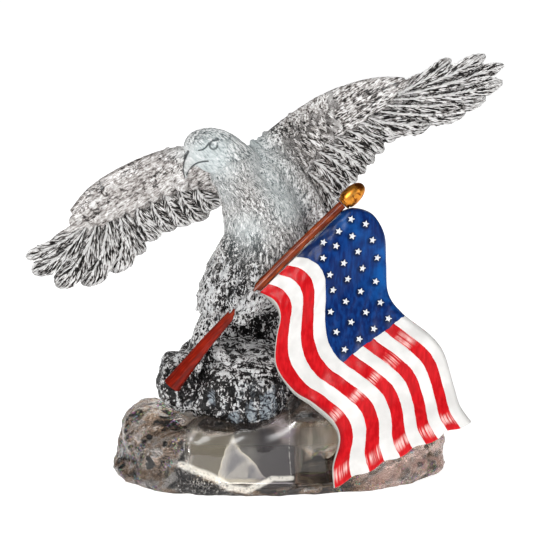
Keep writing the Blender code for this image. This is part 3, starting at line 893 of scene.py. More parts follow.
def star_places():
    """The stars' u and v: seven staggered rows, the first one short by the pole."""
    found = []
    for row in range(STAR_ROWS):
        for k in range(STARS_ACROSS):
            v = 0.502 + 0.134 * k + (0.014 if row % 2 else -0.004)
            u = 0.105 + 0.0685 * row + 0.05 * (v - 0.7)
            u = u - 0.022 * (k == 0 and row == 1) - 0.02 * (k == 1 and row < 2)
            if row or k:
                found.append((u, v))
    return found


def even_size(tree, size):
    """One size for every copy."""
    return size


def set_stars(star):
    """The stars of the flag as one mesh."""
    spots, outs, ups = [], [], []
    for u, v in star_places():
        here = flag_point(u, v)
        ahead, up = flag_point(u + 0.01, v) - here, flag_point(u, v + 0.02) - here
        out = ahead.cross(up).normalized()
        spots.append(here)
        outs.append(out if out.y < 0 else -out)
        ups.append(STAR_UP.normalized())
    tree = copying_tree("set_stars", "Star", "Size", 1.0, "cloth_out", "cloth_up", even_size)
    carried = {"cloth_out": outs, "cloth_up": ups}
    return scatter("flag_stars", tree, spots, carried, Star=star, Size=1.0)


def star_shade(mesh):
    """How near each point is to a star's painted shadow, just below and left of it, from 0 to 1."""
    places = read(mesh)
    nearest = np.full(len(places), np.inf)
    for u, v in star_places():
        centre = np.array(flag_point(u, v)) + (-0.0004, 0, -0.0004)
        nearest = np.minimum(nearest, np.linalg.norm(places - centre, axis=1))
    return 1 - np.clip((nearest / UNIT - STAR_SHADE[0]) / (STAR_SHADE[1] - STAR_SHADE[0]), 0, 1)


star = star_mesh()
flag_stars = set_stars(star)
bpy.data.objects.remove(star)
write(flag.data, "star_shade", star_shade(flag.data))
print(len(star_places()), "stars")

# %% [markdown]
# ## The flag's paint
#
# Ten stripes run the length of the cloth, and the blue field takes the upper six of them near
# the pole. The shader reads u and v from the mesh, so a stripe bends with the cloth. The edge
# of each colour wavers a little, as it does where a brush followed the line. The sides of the
# casting are left bare and pale. Painted shade darkens the blue round each star and beside the
# pole, and one fold of the low red stripe. Painted gleams cross the red on two ridges, and a
# painted azure highlight lies on the upper part of the blue.

# %% Material of the flag
STRIPES = 10
CANTON_LOW = 0.40
BARE_EDGE = 0.006
PAINTED_GLEAMS = ((0.685, 0.09, 0.03), (0.93, 0.0, 0.035))
RED = ((0.50, 0.004, 0.008), (0.70, 0.010, 0.016))
RED_PAINTED_SHADE = (0.22, 0.002, 0.006)
RED_PAINTED_GLEAM = (1.0, 0.70, 0.66)
WHITE = ((0.74, 0.73, 0.71), (0.88, 0.87, 0.85))
BLUE = ((0.002, 0.016, 0.105), (0.004, 0.045, 0.215))
AZURE_HIGHLIGHT = (0.008, 0.115, 0.42)
BLUE_PAINTED_SHADE = (0.001, 0.006, 0.03)
BARE_CASTING = (0.60, 0.60, 0.56)
STAR_WHITE = ((0.86, 0.86, 0.86), (0.72, 0.74, 0.78))


def flag_paint():
    """Stripes and a blue field, brushed, with a pale edge."""
    material, shader, here = new_material(
        "flag_paint", Coat_Weight=0.04, Coat_Roughness=0.12, Specular_IOR_Level=0.10
    )
    place = carried_vector(here, "cloth_place")
    u, v, back = spread_out(place)
    shade = carried_number(here, "star_shade")
    waver = (speckle(here, 260, 2) - 0.5) * 0.012
    pinch = 0.05 - u.within(0.35, 0.54) * 0.035 + u.within(0.58, 1.0) * 0.065
    v = v - (v * math.pi).math("SINE") * pinch
    brush = speckle(stretched(here, (1, 1, 5)), 700, 4)
    strokes = speckle(stretched(here, (1.5, 1, 6), (0, 0.5, 0)), 420, 4)
    blotch = speckle(here, 90, 3)

    even = ((v + waver) * (STRIPES / 2)).math("FRACT")
    white = even.above(0.5)
    blue = (v + waver).above(CANTON_LOW) * (1 - (u - v * 0.03 + waver).above(CANTON_END - 0.02))
    bare = 1 - v.above(BARE_EDGE)
    pale_side = back.above(0.04) * (1 - back.above(0.96))

    red_paint = mix(brush.within(0.3, 0.75), *RED)
    white_paint = mix(blotch.within(0.35, 0.7), *WHITE)
    blue_paint = mix(brush.within(0.35, 0.7), *BLUE)
    # A painted highlight of brighter azure on the upper part of the blue.
    azure_highlight = blotch.within(0.42, 0.7) * (v - u * 0.3).within(0.5, 0.9)
    blue_paint = mix(azure_highlight * 0.85, blue_paint, AZURE_HIGHLIGHT)
    # Painted shade on the blue beside the pole, and round each star.
    pole_shade = 1 - (u + (strokes - 0.5) * 0.06).within(0.02, 0.14)
    blue_paint = mix((shade * 0.85).most(pole_shade * 0.6), blue_paint, BLUE_PAINTED_SHADE)
    # Painted shade on the low red stripe, along a fold of the cloth.
    fold_shade = (1 - v.within(0.0, 0.06)) * u.within(0.42, 0.52) * (1 - u.within(0.82, 0.9))
    red_paint = mix(fold_shade * 0.75, red_paint, RED_PAINTED_SHADE)
    # Painted highlights in streaks across the red, along two ridges of the cloth.
    painted_gleam = 0
    for at, lean, wide in PAINTED_GLEAMS:
        painted_gleam = painted_gleam + (1 - abs(u - at + v * lean + (strokes - 0.5) * 0.05).within(0.0, wide))
    gleam_streaks = speckle(stretched(place, (0.14, 0.011, 1)), 1, 3).within(0.38, 0.62)
    red_paint = mix(painted_gleam * gleam_streaks * 0.85, red_paint, RED_PAINTED_GLEAM)
    colour = mix(white, red_paint, white_paint)
    colour = mix(blue, colour, blue_paint)
    colour = mix((bare + pale_side).least(1.0), colour, BARE_CASTING)

    line = abs(even - 0.5).least(0.5 - abs(even - 0.5))
    seam = 1 - line.within(0.0, 0.05)
    height = strokes * 0.9 + seam * -0.5 * (1 - blue) + blotch * 0.2
    feed(shader, Base_Color=colour, Roughness=0.25 + brush * 0.18)
    feed(shader, Normal=bump(height, 0.00022, 0.6))
    return material


def star_paint():
    """White dabs."""
    material, shader, here = new_material(
        "star_paint", Coat_Weight=0.3, Coat_Roughness=0.08, Specular_IOR_Level=0.2
    )
    dabs = speckle(here, 800, 3)
    paint = mix(dabs.within(0.35, 0.65), *STAR_WHITE)
    feed(shader, Base_Color=paint, Roughness=0.22 + dabs * 0.15)
    return material


dress(flag, flag_paint(), "flag_paint", "flag")
dress(flag_stars, star_paint(), "flag_paint")
flag_stars.data.shade_flat()

# %% [markdown]
# ## One feather, drawn once
#
# A feather on the real casting is a blade with a raised middle and a round tip. It is drawn
# once, one unit long and one unit wide, and a Geometry Nodes tree puts a copy of it wherever a
# feather grows. Each copy is stretched to its own length, width and thickness, and keeps the
# place of every point along and across the blade, because the barbs are carved from those.
#
# A particle system could do this too, but a tree of nodes gives real meshes and takes its
# sizes from named inputs.

# %% Draw the blades
FEATHER_THICKNESS = 0.0034
KEEPS = ("blade_place", "blade_size", "blade_style")


def feather_width(share, tip_length):
    """A blade's width along its length: narrow at the quill, full, then a round tip."""
    quill = 0.55 + 0.45 * min(share / 0.45, 1)
    tip = max(0.0, (share - 1 + tip_length) / tip_length)
    return quill * math.sqrt(max(1 - tip**2, 0.06))


def blade(name, bow, sweep, tip_length, steps, half_sides):
    """A unit blade along Z, one wide along X, with its raised side to +Y.

    Its middle line bows towards +Y and sweeps towards +X.
    """
    rings, places = [], []
    for i in range(steps + 1):
        share = i / steps
        half = feather_width(share, tip_length) / 2
        deep = 0.5 * (1 - 0.35 * share)
        ring = []
        for k in range(2 * half_sides):
            t = abs(k / half_sides - 1) * 2 - 1
            profile = 1.25 - 1.05 * abs(t) if k < half_sides else -1 + 0.9 * abs(t)
            bend = math.sin(math.pi * share)
            ring.append(Vector((t * half + sweep * bend, profile * deep + bow * bend, share)))
            places.append((t, 0, share))
        rings.append(ring)
    thing = new_object(name, *loft(rings))
    write(thing.data, "blade_place", np.array(places))
    return thing


flight_blade = blade("flight_blade", bow=0.35, sweep=0.22, tip_length=0.2, steps=20, half_sides=8)
small_blade = blade("small_blade", bow=0, sweep=0, tip_length=0.28, steps=8, half_sides=4)
print("points in one flight feather:", len(flight_blade.data.vertices))

# %% [markdown]
# The tree is the one that set the stars. Only the size of a copy is new: the blade's own width,
# thickness and length, with some spread in the length so that a row of tufts isn't even.

# %% A tree that grows feathers on points
def feather_size(tree, spread):
    """A blade's own size, with its length spread a little by chance."""
    settings = {"data_type": "FLOAT"}
    limits = {2: 1 - spread, 3: 1 + spread, "Seed": 7}
    longer = node(tree, "FunctionNodeRandomValue", settings, limits, output=1)
    stretch = node(tree, "ShaderNodeCombineXYZ", None, {0: 1.0, 1: 1.0, 2: longer})
    factors = {0: stored(tree, "blade_size"), 1: stretch}
    return node(tree, "ShaderNodeVectorMath", {"operation": "MULTIPLY"}, factors)


def grow(name, rows, shape, spread=0.0):
    """Feathers from rows of quill, tip, facing, width, thickness and style."""
    quills = np.array([row[0] for row in rows])
    spans = np.array([row[1] - row[0] for row in rows])
    lengths = np.linalg.norm(spans, axis=1)
    carried = {
        "blade_span": spans,
        "blade_facing": [row[2] for row in rows],
        "blade_size": np.column_stack(([r[3] for r in rows], [r[4] for r in rows], lengths)),
        "blade_style": [row[5] for row in rows],
    }
    thing = scatter(name, FEATHER_TREE, quills, carried, Blade=shape, Length_Spread=spread)
    print(name, "-", len(rows), "feathers,", len(thing.data.vertices), "points")
    return thing


FEATHER_TREE = copying_tree(
    "grow_feathers", "Blade", "Length Spread", 0.12, "blade_span", "blade_facing", feather_size
)

# %% [markdown]
# ## Where the feathers grow
#
# A flight feather runs from the wing's root line to its own tip, and is about as wide as the
# step to the next tip. Over its quill lie three rows of shorter coverts on each face of the
# wing, and small round scales cover the arm. Each blade leans a little, so that one edge lifts
# over its neighbour, like tiles.
#
# The style of a feather is the slant of its barbs and a number of its own, for variety.

# %% Feathers of the wings
SMALL = FEATHER_THICKNESS * 0.65
FLIGHT_NARROWEST = 9 * UNIT
COVERT_WIDEST = 9 * UNIT


def leaned(axis, front, lean):
    """The way a blade faces, turned about its own axis."""
    return Matrix.Rotation(lean, 3, axis) @ across(axis, front)[1]


def wing(arm, roots, tips, outwards, spread, widest, slants, lag):
    """The feathers of one wing: flight feathers, and coverts on both faces."""
    flight, coverts = [], []
    last = len(tips) - 1
    lean = outwards * math.radians(9)
    for i, tip in enumerate(tips):
        share = i / last
        quill, point = units(along(roots, min(share + lag * (1 - share), 1))), units(tip)
        beside = units(tips[i - 1] if i else tips[1])
        width = min(max((point - beside).length * spread, FLIGHT_NARROWEST), widest * UNIT)
        width *= 1 - 0.35 * max(0, share - 0.7) / 0.3
        span = point - quill
        facing = leaned(span.normalized(), Vector((0, -1, 0)), lean)
        swept_to = outwards if share > 0.55 else -outwards
        slant = slants[0] + (slants[1] - slants[0]) * share
        style = (slant, i, 0)
        flight.append((quill, point, facing, swept_to * width, FEATHER_THICKNESS, style))
        arm_height, arm_depth = along(arm, share)[3:]
        edge = span.normalized() * arm_height * UNIT
        rows = (
            (quill - span * 0.06, quill + span * 0.56, 0.8),
            (quill - span * 0.06, quill + span * 0.32, 1.4),
            (quill - edge * 0.9, quill + edge * 0.5, arm_depth * 0.8),
        )
        for start, end, lift in rows if i else ():
            for face in (-1, 1):
                rise = Vector((0, face * lift * UNIT, 0))
                root, top = start + rise * 0.6, end + rise
                facing = leaned((top - root).normalized(), Vector((0, face, 0)), lean)
                wide = min(width * 0.85, COVERT_WIDEST)
                coverts.append((root, top, facing, wide, SMALL, (slant, i, 1)))
    return flight, coverts


def arm_scales(arm, tips, slant, rows, around, length, width):
    """Small overlapping scales on the front and back of a wing's arm."""
    scales = []
    for row in range(rows):
        for k in range(around):
            share = (k + 0.5 * (row % 2) + 0.4) / (around + 0.5)
            here = along(arm, min(share, 1))
            trail = Vector(along(tips, share)) - Vector(here[:3])
            trail = Vector((trail.x, 0, trail.z)).normalized()
            high = 1.02 - 1.45 * row / rows + 0.03 * ((7 * k + 3 * row) % 5 - 1)
            low = high - length / here[3]
            for face in (-1, 1):
                ends = []
                for height, lift in ((high, -0.3), (low, 0.75)):
                    spot = Vector(here[:3]) - trail * here[3] * height
                    spot.y += face * (here[4] * math.sqrt(max(1 - height**2, 0.02)) + lift)
                    ends.append(units(spot))
                facing = leaned((ends[1] - ends[0]).normalized(), Vector((0, face, 0)), 0.1)
                scales.append((*ends, facing, width * UNIT, 1.5 * UNIT, (slant, k, 2)))
    return scales


LEFT_SLANTS = (math.radians(34), math.radians(14))
RIGHT_SLANTS = (math.radians(22), math.radians(10))
left_flight, left_coverts = wing(LEFT_ARM, LEFT_ROOTS, LEFT_TIPS, 1, 1.4, 14.5, LEFT_SLANTS, 0.13)
right_flight, right_coverts = wing(
    RIGHT_ARM, RIGHT_ROOTS, RIGHT_TIPS, -1, 1.2, 11.5, RIGHT_SLANTS, 0.03
)
scales = arm_scales(LEFT_ARM, LEFT_TIPS, LEFT_SLANTS[0], 5, 18, 6.0, 5.0)
scales += arm_scales(RIGHT_ARM, RIGHT_TIPS, RIGHT_SLANTS[0], 5, 18, 7.5, 4.6)
print(len(scales), "scales on the arms")

# %% [markdown]
# The body's plumage hangs down in rows. The rows of broad tufts are the same as on the packed
# solid. Finer ones lie over them, because from close up the real breast is all short strokes.

# %% Feathers of the body, thigh and tail
def on_skin(station, outwards, share):
    """A point on a limb's skin in one direction, or a share of the way out to it."""
    skin = Vector((outwards.x * station[3], outwards.y * station[4], 0))
    return units(Vector(station[:3]) + skin * share)


def tufts(stations, rows, around, start, reach, overlap, width, thick, sink, lift, arc=(0, 2)):
    """Rows of pointed feathers that hang down a limb, over a part of the way round."""
    found = []
    for row in range(rows):
        share = start + reach * row / rows
        here, ahead = along(stations, share), along(stations, min(share + overlap, 1))
        for k in range(around):
            angle = math.pi * (arc[0] + (arc[1] - arc[0]) * (k + 0.5 * (row % 2)) / around)
            out = Vector((math.cos(angle), -math.sin(angle), 0))
            root, top = on_skin(here, out, sink), on_skin(ahead, out, lift)
            facing = across((top - root).normalized(), out)[1]
            found.append((root, top, facing, width * UNIT, thick, (0.5, k + row, 3)))
    return found


def tail_fan():
    """A fan of blades that comes down behind the perch."""
    found = []
    for i in range(TAIL_BLADES):
        lean = i / (TAIL_BLADES - 1) - 0.5
        root = units(Vector(TAIL_ROOT) + Vector((lean * 14, -4 * abs(lean), 0)))
        drop = Vector((lean * TAIL_SPREAD, -6 * abs(lean), 8 * abs(lean)))
        top = units(Vector(TAIL_TIP_CENTRE) + drop)
        facing = leaned((top - root).normalized(), Vector((0, 1, 0)), 0.15)
        found.append((root, top, facing, 10 * UNIT, FEATHER_THICKNESS, (math.radians(30), i, 0)))
    return found


body_rows = tufts(TORSO, 8, 18, 0.05, 0.70, 0.15, 6, SMALL, 0.90, 1.01)
body_rows += tufts(NEAR_THIGH, 3, 7, 0, 0.81, 0.42, 6.5, SMALL, 0.85, 1.12, arc=(-0.1, 1.15))
fine_rows = tufts(TORSO, 26, 44, 0.03, 0.80, 0.07, 2.2, 1.3 * UNIT, 0.98, 1.045)
fine_rows += tufts(NEAR_THIGH, 8, 26, 0, 0.8, 0.24, 2.8, 1.5 * UNIT, 0.97, 1.10)
fine_rows += tufts(BELLY_TUFT, 7, 22, 0.1, 0.7, 0.2, 2.8, 1.5 * UNIT, 0.94, 1.10)

feathers = [
    grow("left_flight", left_flight, flight_blade),
    grow("right_flight", right_flight, flight_blade),
    grow("tail_fan", tail_fan(), flight_blade),
    grow("coverts", left_coverts + right_coverts, small_blade),
    grow("scales", scales, small_blade, spread=0.15),
    grow("tufts", body_rows, small_blade),
    grow("fine_tufts", fine_rows, small_blade, spread=0.25),
]

# %% [markdown]
# ## Noise on a mesh's points
#
# The small relief of the castings is made by moving points along their normals. A texture
# could displace them in a modifier, but then the colour couldn't follow the same creases. So
# the height is worked out here, and kept on the mesh for the shader to read.

# %% Smooth and creased noise
SMOOTHING_ROUNDS = 2


def soft_noise(places, seed):
    """Noise from -1 to 1, with about one lump in each unit of the places."""
    cell = np.floor(places).astype(np.int64)
    f = places - cell
    f = f * f * (3 - 2 * f)
    total = np.zeros(len(places))
    for corner in np.ndindex(2, 2, 2):
        i, j, k = (cell + corner).T
        h = (i * 73856093) ^ (j * 19349663) ^ (k * 83492791) ^ (seed * 2654435761)
        h = (h ^ (h >> 13)) * 1274126177 & 0xFFFFFFFF
        value = ((h ^ (h >> 16)) & 0xFFFF) / 32767.5 - 1
        total += value * np.prod(np.where(corner, f, 1 - f), axis=1)
    return total


def creases(places, size, seed, bend=0.6):
    """Sharp crests, 1 on a crest and falling to 0, some size apart."""
    at = places / size
    warp = np.column_stack([soft_noise(at * 0.7, seed + n) for n in (11, 12, 13)])
    return 1 - np.abs(soft_noise(at + bend * warp, seed))


def crumple(places, size, seed):
    """The height of a crumpled, glassy skin, from about -1 to 1, and how sharp a crest it is."""
    broad = creases(places, size, seed)
    middle = creases(places, size * 0.45, seed + 1)
    fine = creases(places, size * 0.2, seed + 2, bend=0.9)
    height = 1.1 * (broad**2 - 0.45) + 0.6 * (middle**2 - 0.45) + 0.30 * (fine**2 - 0.45)
    crest = 0.5 * broad**8 + 0.6 * middle**8 + 0.45 * fine**6
    return height, np.clip(crest, 0, 1)


def push_out(mesh, places, relief):
    """Moves a mesh's points along their normals, by a relief in millimetres."""
    moved = (places + read(mesh, "normal") * relief[:, None]) * UNIT
    mesh.vertices.foreach_set("co", moved.astype(np.float32).ravel())
    mesh.update()


def hollow(mesh):
    """How far each point stands out from its neighbours, in metres. Hollows are negative."""
    edges = np.zeros(len(mesh.edges) * 2, np.int32)
    mesh.edges.foreach_get("vertices", edges)
    a, b = edges.reshape(-1, 2).T
    points = read(mesh)
    count = np.bincount(a, minlength=len(points)) + np.bincount(b, minlength=len(points))
    smooth = points.copy()
    for _ in range(SMOOTHING_ROUNDS):
        total = np.zeros_like(points)
        np.add.at(total, a, smooth[b])
        np.add.at(total, b, smooth[a])
        smooth = total / np.maximum(count, 1)[:, None]
    return ((points - smooth) * read(mesh, "normal")).sum(axis=1)


print("noise helpers ready")

# %% [markdown]
# ## One casting
#
# The feathers, limbs, feet, head and rock of the real piece are one body of acrylic, without
# any seam. A voxel Remesh melts the closed shapes into one skin at a grain of under half a
# millimetre. Before that, every face remembers what it belongs to, so that each point of the
# skin can ask the nearest face for its feather, and its place on it.

# %% Gather what is cast
CARVING_GRAIN = 0.00045
FEATHER, SKIN, HEAD, FOOT, ROCK = range(5)


def boulder(centre, radii, seed, roughness=PERCH_ROUGHNESS, detail=5):
    """A stone: a ball stretched to its radii and roughened by noise."""
    bm = bmesh.new()
    bmesh.ops.create_icosphere(bm, subdivisions=detail, radius=1)
    for v in bm.verts:
        lump = noise.fractal(v.co * 1.7 + Vector((seed, 0, 0)), 0.9, 2.0, 4)
        flat = Vector(max(-0.80, min(0.80, c)) / 0.80 for c in v.co)
        stone = Vector(f * r for f, r in zip(v.co.lerp(flat, 0.35), radii))
        v.co = stone + v.co * lump * roughness
    points = [units(v.co + Vector(centre)) for v in bm.verts]
    faces = [tuple(v.index for v in f.verts) for f in bm.faces]
    bm.free()
    return points, faces


def head_bodies():
    """The skull, hooked beak, lower jaw, brows and eyes."""
    bodies = [limb(SKULL), limb(BEAK), limb(JAW, steps=12)]
    middle = Vector(SKULL[2][:3])
    for far_side in (False, True):
        for centre, radii in ((BROW_CENTRE, BROW_RADII), (EYE_CENTRE, (EYE_RADIUS,) * 3)):
            place = Vector(centre)
            if far_side:
                place.y = 2 * middle.y - place.y
            bodies.append(boulder(place, radii, 0, roughness=0, detail=3))
    return bodies


def foot_bodies():
    """Both feet, with three toes in front and one behind."""
    bodies = []
    for shift in ((0, 0, 0), FAR_FOOT_SHIFT):
        for toe in TOES:
            stations = [(*np.add(spot, shift), r, r) for spot, r in zip(toe, TOE_RADII)]
            bodies.append(limb(stations, steps=14, sides=16, front=(0, 0, 1)))
    return bodies


skin = [limb(TORSO), limb(NEAR_THIGH), limb(NEAR_SHANK), limb(FAR_THIGH), limb(FAR_SHANK)]
skin += [limb(BELLY_TUFT), limb(RIGHT_SHOULDER), limb(RUMP), limb(LEFT_ARM), limb(RIGHT_ARM)]
plain = [(body, SKIN) for body in skin]
plain += [(body, HEAD) for body in head_bodies()]
plain += [(body, FOOT) for body in foot_bodies()]
plain += [(boulder(*row), ROCK) for row in PERCH_BOULDERS]
print(len(plain), "bodies and", len(feathers), "sets of feathers to melt")

# %% [markdown]
# The melted skin has no memory of what it came from. A search tree over the shapes before
# melting finds the nearest triangle to each point of the skin, and blends what its three
# corners know. A Boolean union of all the feathers could fail where they only graze one
# another. Melting can't, and in this way the feathers' own coordinates survive it.

# %% Melt it
class Sources:
    """The closed shapes before melting: points, triangles, and what each point knows."""

    def __init__(self):
        self.points, self.faces, self.known = [], [], []
        self.size = 0

    def add(self, mesh, kind):
        """Adds a mesh, and what its points know."""
        points = read(mesh)
        known = np.zeros((len(points), 10))
        known[:, 0] = kind
        if kind == FEATHER:
            known[:, 1:] = np.hstack([read(mesh, name) for name in KEEPS])
        self.points.append(points)
        self.faces.append(triangles(mesh) + self.size)
        self.known.append(known)
        self.size += len(points)

    def joined(self):
        """All the points, triangles and facts as three arrays."""
        return np.vstack(self.points), np.vstack(self.faces), np.vstack(self.known)


def melt(name, points, faces, grain):
    """One closed skin around all the shapes."""
    thing = add_mesh(name, points, faces.tolist())
    remesh = thing.modifiers.new("melt", "REMESH")
    remesh.mode = "VOXEL"
    remesh.voxel_size = grain
    return settle(thing)


def ask(points, faces, known, places):
    """What the nearest face knows at each place, blended between its corners."""
    tree = BVHTree.FromPolygons(points.tolist(), faces.tolist())
    found = [tree.find_nearest(place) for place in places.tolist()]
    nearest = np.array([hit[0] for hit in found])
    corners = faces[[hit[2] for hit in found]]
    a, b, c = (points[corners[:, n]] for n in range(3))
    ab, ac, ap = b - a, c - a, nearest - a
    d00, d01, d11 = (ab * ab).sum(1), (ab * ac).sum(1), (ac * ac).sum(1)
    d20, d21 = (ap * ab).sum(1), (ap * ac).sum(1)
    span = np.maximum(d00 * d11 - d01 * d01, 1e-24)
    v = np.clip((d11 * d20 - d01 * d21) / span, 0, 1)
    w = np.clip((d00 * d21 - d01 * d20) / span, 0, 1)
    weights = np.stack([np.clip(1 - v - w, 0, 1), v, w], axis=1)
    return (known[corners] * weights[:, :, None]).sum(axis=1)


sources = Sources()
for body, kind in plain:
    shape = new_object("shape", *body)
    sources.add(shape.data, kind)
    bpy.data.objects.remove(shape)
for thing in feathers:
    sources.add(thing.data, FEATHER)
    bpy.data.objects.remove(thing)
bpy.data.objects.remove(flight_blade)
bpy.data.objects.remove(small_blade)

points, faces, known = sources.joined()
eagle = melt("eagle_casting", points, faces, CARVING_GRAIN)
facts = ask(points, faces, known, read(eagle.data))
print("melted skin:", len(eagle.data.vertices), "points")

# %% [markdown]
# ## Carving the skin
#
# On the real casting each feather has a raised shaft and slanting barbs, the breast has short
# strokes, the head is nearly smooth with a few sharp lines, and the legs and the perch are
# crumpled like wet glass. Every point of the skin knows where it is on its feather, so the
# barbs are cut as grooves at a slant from the shaft, and break off at the feather's edge.
#
# Only the larger grooves fit on the mesh. For the finer ones each point keeps its place
# across and along the strands, and the shader draws them from that.

# %% The relief of feathers
BARB_PITCH = 1.5
FINE_PITCH = 0.62
COVERT, SCALE, TUFT = 0.5, 1.5, 2.5


def blade_places(facts):
    """Millimetres along and across a point's blade, then across and along its barb."""
    width, _, length = np.abs(facts[:, 4:7]).T * MM
    slant = facts[:, 7]
    s = facts[:, 3] * length
    t = facts[:, 1] * width / 2
    barb = s * np.sin(slant) - np.abs(t) * np.cos(slant)
    along_barb = s * np.cos(slant) + np.abs(t) * np.sin(slant)
    return s, t, barb, along_barb


def feather_relief(facts, places):
    """The height of the feathers' relief in millimetres, from a point's place on its blade."""
    share, number, row = facts[:, 3], facts[:, 8], facts[:, 9]
    s, t, barb, along_barb = blade_places(facts)
    wobble = 0.5 * soft_noise(places / 3, 3)
    groove = np.abs(np.sin(np.pi * (barb / BARB_PITCH + wobble)))
    side = np.sign(t) * 3.1
    streak = soft_noise(np.column_stack((barb / 0.8, along_barb / 5, number * 5.3 + side)), 4)
    shaft = np.exp(-((t / 0.40) ** 2)) - 0.5 * np.exp(-(((np.abs(t) - 1.0) / 0.45) ** 2))
    vane = 0.13 * (groove - 0.62) + 0.14 * streak + 0.32 * shaft * (1 - 0.5 * share)
    vane = np.where(row > COVERT, vane * 0.4, vane)
    stroke = soft_noise(np.column_stack((t / 0.7, s / 3, number * 3.7 + row)), 6)
    short = 0.13 * stroke + 0.13 * np.exp(-((t / 0.35) ** 2)) * (1 - share)
    rim = 0.05 * np.abs(facts[:, 1]) ** 4 + 0.05 * stroke
    return np.where(row > TUFT, short, np.where(row > SCALE, rim, vane))


def band(values, low, high):
    """0 below a range, 1 above it, and smooth between."""
    f = np.clip((values - low) / (high - low), 0, 1)
    return f * f * (3 - 2 * f)


# %% [markdown]
# The head has few marks, and they give it its look: the ridge of the brow over the eye, the
# line of the mouth, the edge of the beak and three strokes on the crown. They are written as
# short lines in the front view. A point's distance from the first three gives the depth of
# their cut, and the shader draws all of them.

# %% Lines cut into the head
BROW_LINE = (
    (-20.7, 158.6),
    (-23.0, 158.3),
    (-25.2, 156.4),
    (-26.1, 155.2),
    (-27.6, 154.2),
    (-29.3, 153.9),
)
MOUTH_LINE = (
    (-25.2, 148.9),
    (-27.4, 148.7),
    (-29.2, 148.2),
    (-30.9, 147.3),
    (-32.3, 146.2),
    (-33.6, 144.3),
    (-34.9, 142.4),
)
CROWN_LINES = (
    ((-34.0, 156.2), (-32.8, 159.3), (-30.2, 162.0)),
    ((-31.8, 156.8), (-30.2, 160.0), (-27.6, 162.6)),
    ((-29.6, 157.6), (-27.8, 160.6), (-25.6, 161.8)),
)
BEAK_EDGE = ((-34, 153), (-35.9, 149), (-36.5, 145.5), (-35.8, 141.2))


def line_distance(x, z, line):
    """How far points are from a drawn line, seen from the side."""
    nearest = np.full(len(x), np.inf)
    for (x0, z0), (x1, z1) in zip(line, line[1:]):
        dx, dz = x1 - x0, z1 - z0
        f = np.clip(((x - x0) * dx + (z - z0) * dz) / (dx * dx + dz * dz), 0, 1)
        nearest = np.minimum(nearest, np.hypot(x - x0 - f * dx, z - z0 - f * dz))
    return nearest


def swept(places):
    """Coordinates that run back over the crown."""
    x, y, z = places.T
    return np.column_stack((x * 0.75 - z * 0.66, x * 0.66 + z * 0.75, y))


def head_relief(places):
    """The head's fine strokes and the grooves of its lines, in millimetres."""
    x, _, z = places.T
    lines = (BROW_LINE, MOUTH_LINE, BEAK_EDGE)
    cut = np.max([np.exp(-((line_distance(x, z, line) / 0.5) ** 2)) for line in lines], axis=0)
    stroke = soft_noise(swept(places) / (3.5, 0.9, 0.9), 8) * band(x, -33, -26)
    return (0.12 + 0.14 * band(x, -22, -12)) * stroke - 0.22 * cut


# %% [markdown]
# Three things are then worked out for each point: how much it belongs to the head and breast,
# which are painted as lit by the lamp, to the wings, or to the legs and perch, which are painted
# dark as glass in shade; how far it moves in or out; and the strands along which the shader is
# to draw. The hollow between the legs is marked as well, for painted shade, because almost no
# light comes out of it.

# %% Cut the relief
LIT_SIDE = ((-4, 153), (3, 141), (11, 126))
LIT_SPOTS = ((1.3, -24, 151, 14, 14), (0.6, -19, 134, 8, 12), (0.85, -8, 116, 11, 10))
HOLLOW_ROUNDS = ((-2, 70.5, 9.5, 9.5), (-9.5, 66.5, 9, 5.2))
WING_RISE = math.radians(32)


def zones(kind, places):
    """How much a point is painted lit by the lamp below, is wing, and is crumpled glass in shade.
    """
    x, y, z = places.T
    spots = [0.85 * np.exp(-((line_distance(x, z, LIT_SIDE) / 8) ** 2))]
    for much, spot_x, spot_z, wide, high in LIT_SPOTS:
        off = -(((x - spot_x) / wide) ** 2) - ((z - spot_z) / high) ** 2
        spots.append(much * np.exp(off))
    lit = np.clip(np.max(spots, axis=0), 0, 1) * (kind != ROCK)
    wing_part = np.maximum(band(-x, 22, 38), band(x, 24, 40)) * band(z, 70, 90)
    armpit = band(-x, 15.5, 19) * band(z, 120, 126) * (1 - band(z, 142, 147)) * (kind != HEAD)
    armpit = armpit * band(y, -14, -8)
    wing_part = np.maximum(wing_part, armpit)
    lit = np.where(kind == HEAD, np.maximum(lit, 0.6), lit * (1 - armpit))
    dark = np.maximum(1 - band(z, 84, 116), (kind == ROCK).astype(float)) * (1 - wing_part)
    return np.column_stack((lit, wing_part, dark))


def cavity(places):
    """The dark hollow between the legs: two overlapping rounds, seen from the front."""
    x, y, z = places.T
    frayed = 0.10 * soft_noise(places / 2.2, 33)
    off = []
    for round_x, round_z, wide, high in HOLLOW_ROUNDS:
        off.append(((x - round_x) / wide) ** 2 + ((z - round_z) / high) ** 2)
    inside = 1 - band(np.min(off, axis=0) + frayed, 0.8, 1.05)
    return inside * band(y, -22, -15)


def flow(places):
    """Places drawn out along the arms of the wings, in the way that their hairs lie."""
    x, y, z = places.T
    ahead = x * math.cos(WING_RISE) + z * math.sin(WING_RISE)
    up = z * math.cos(WING_RISE) - x * math.sin(WING_RISE)
    return np.column_stack((ahead / 2.8, up / 0.62, y / 0.62))


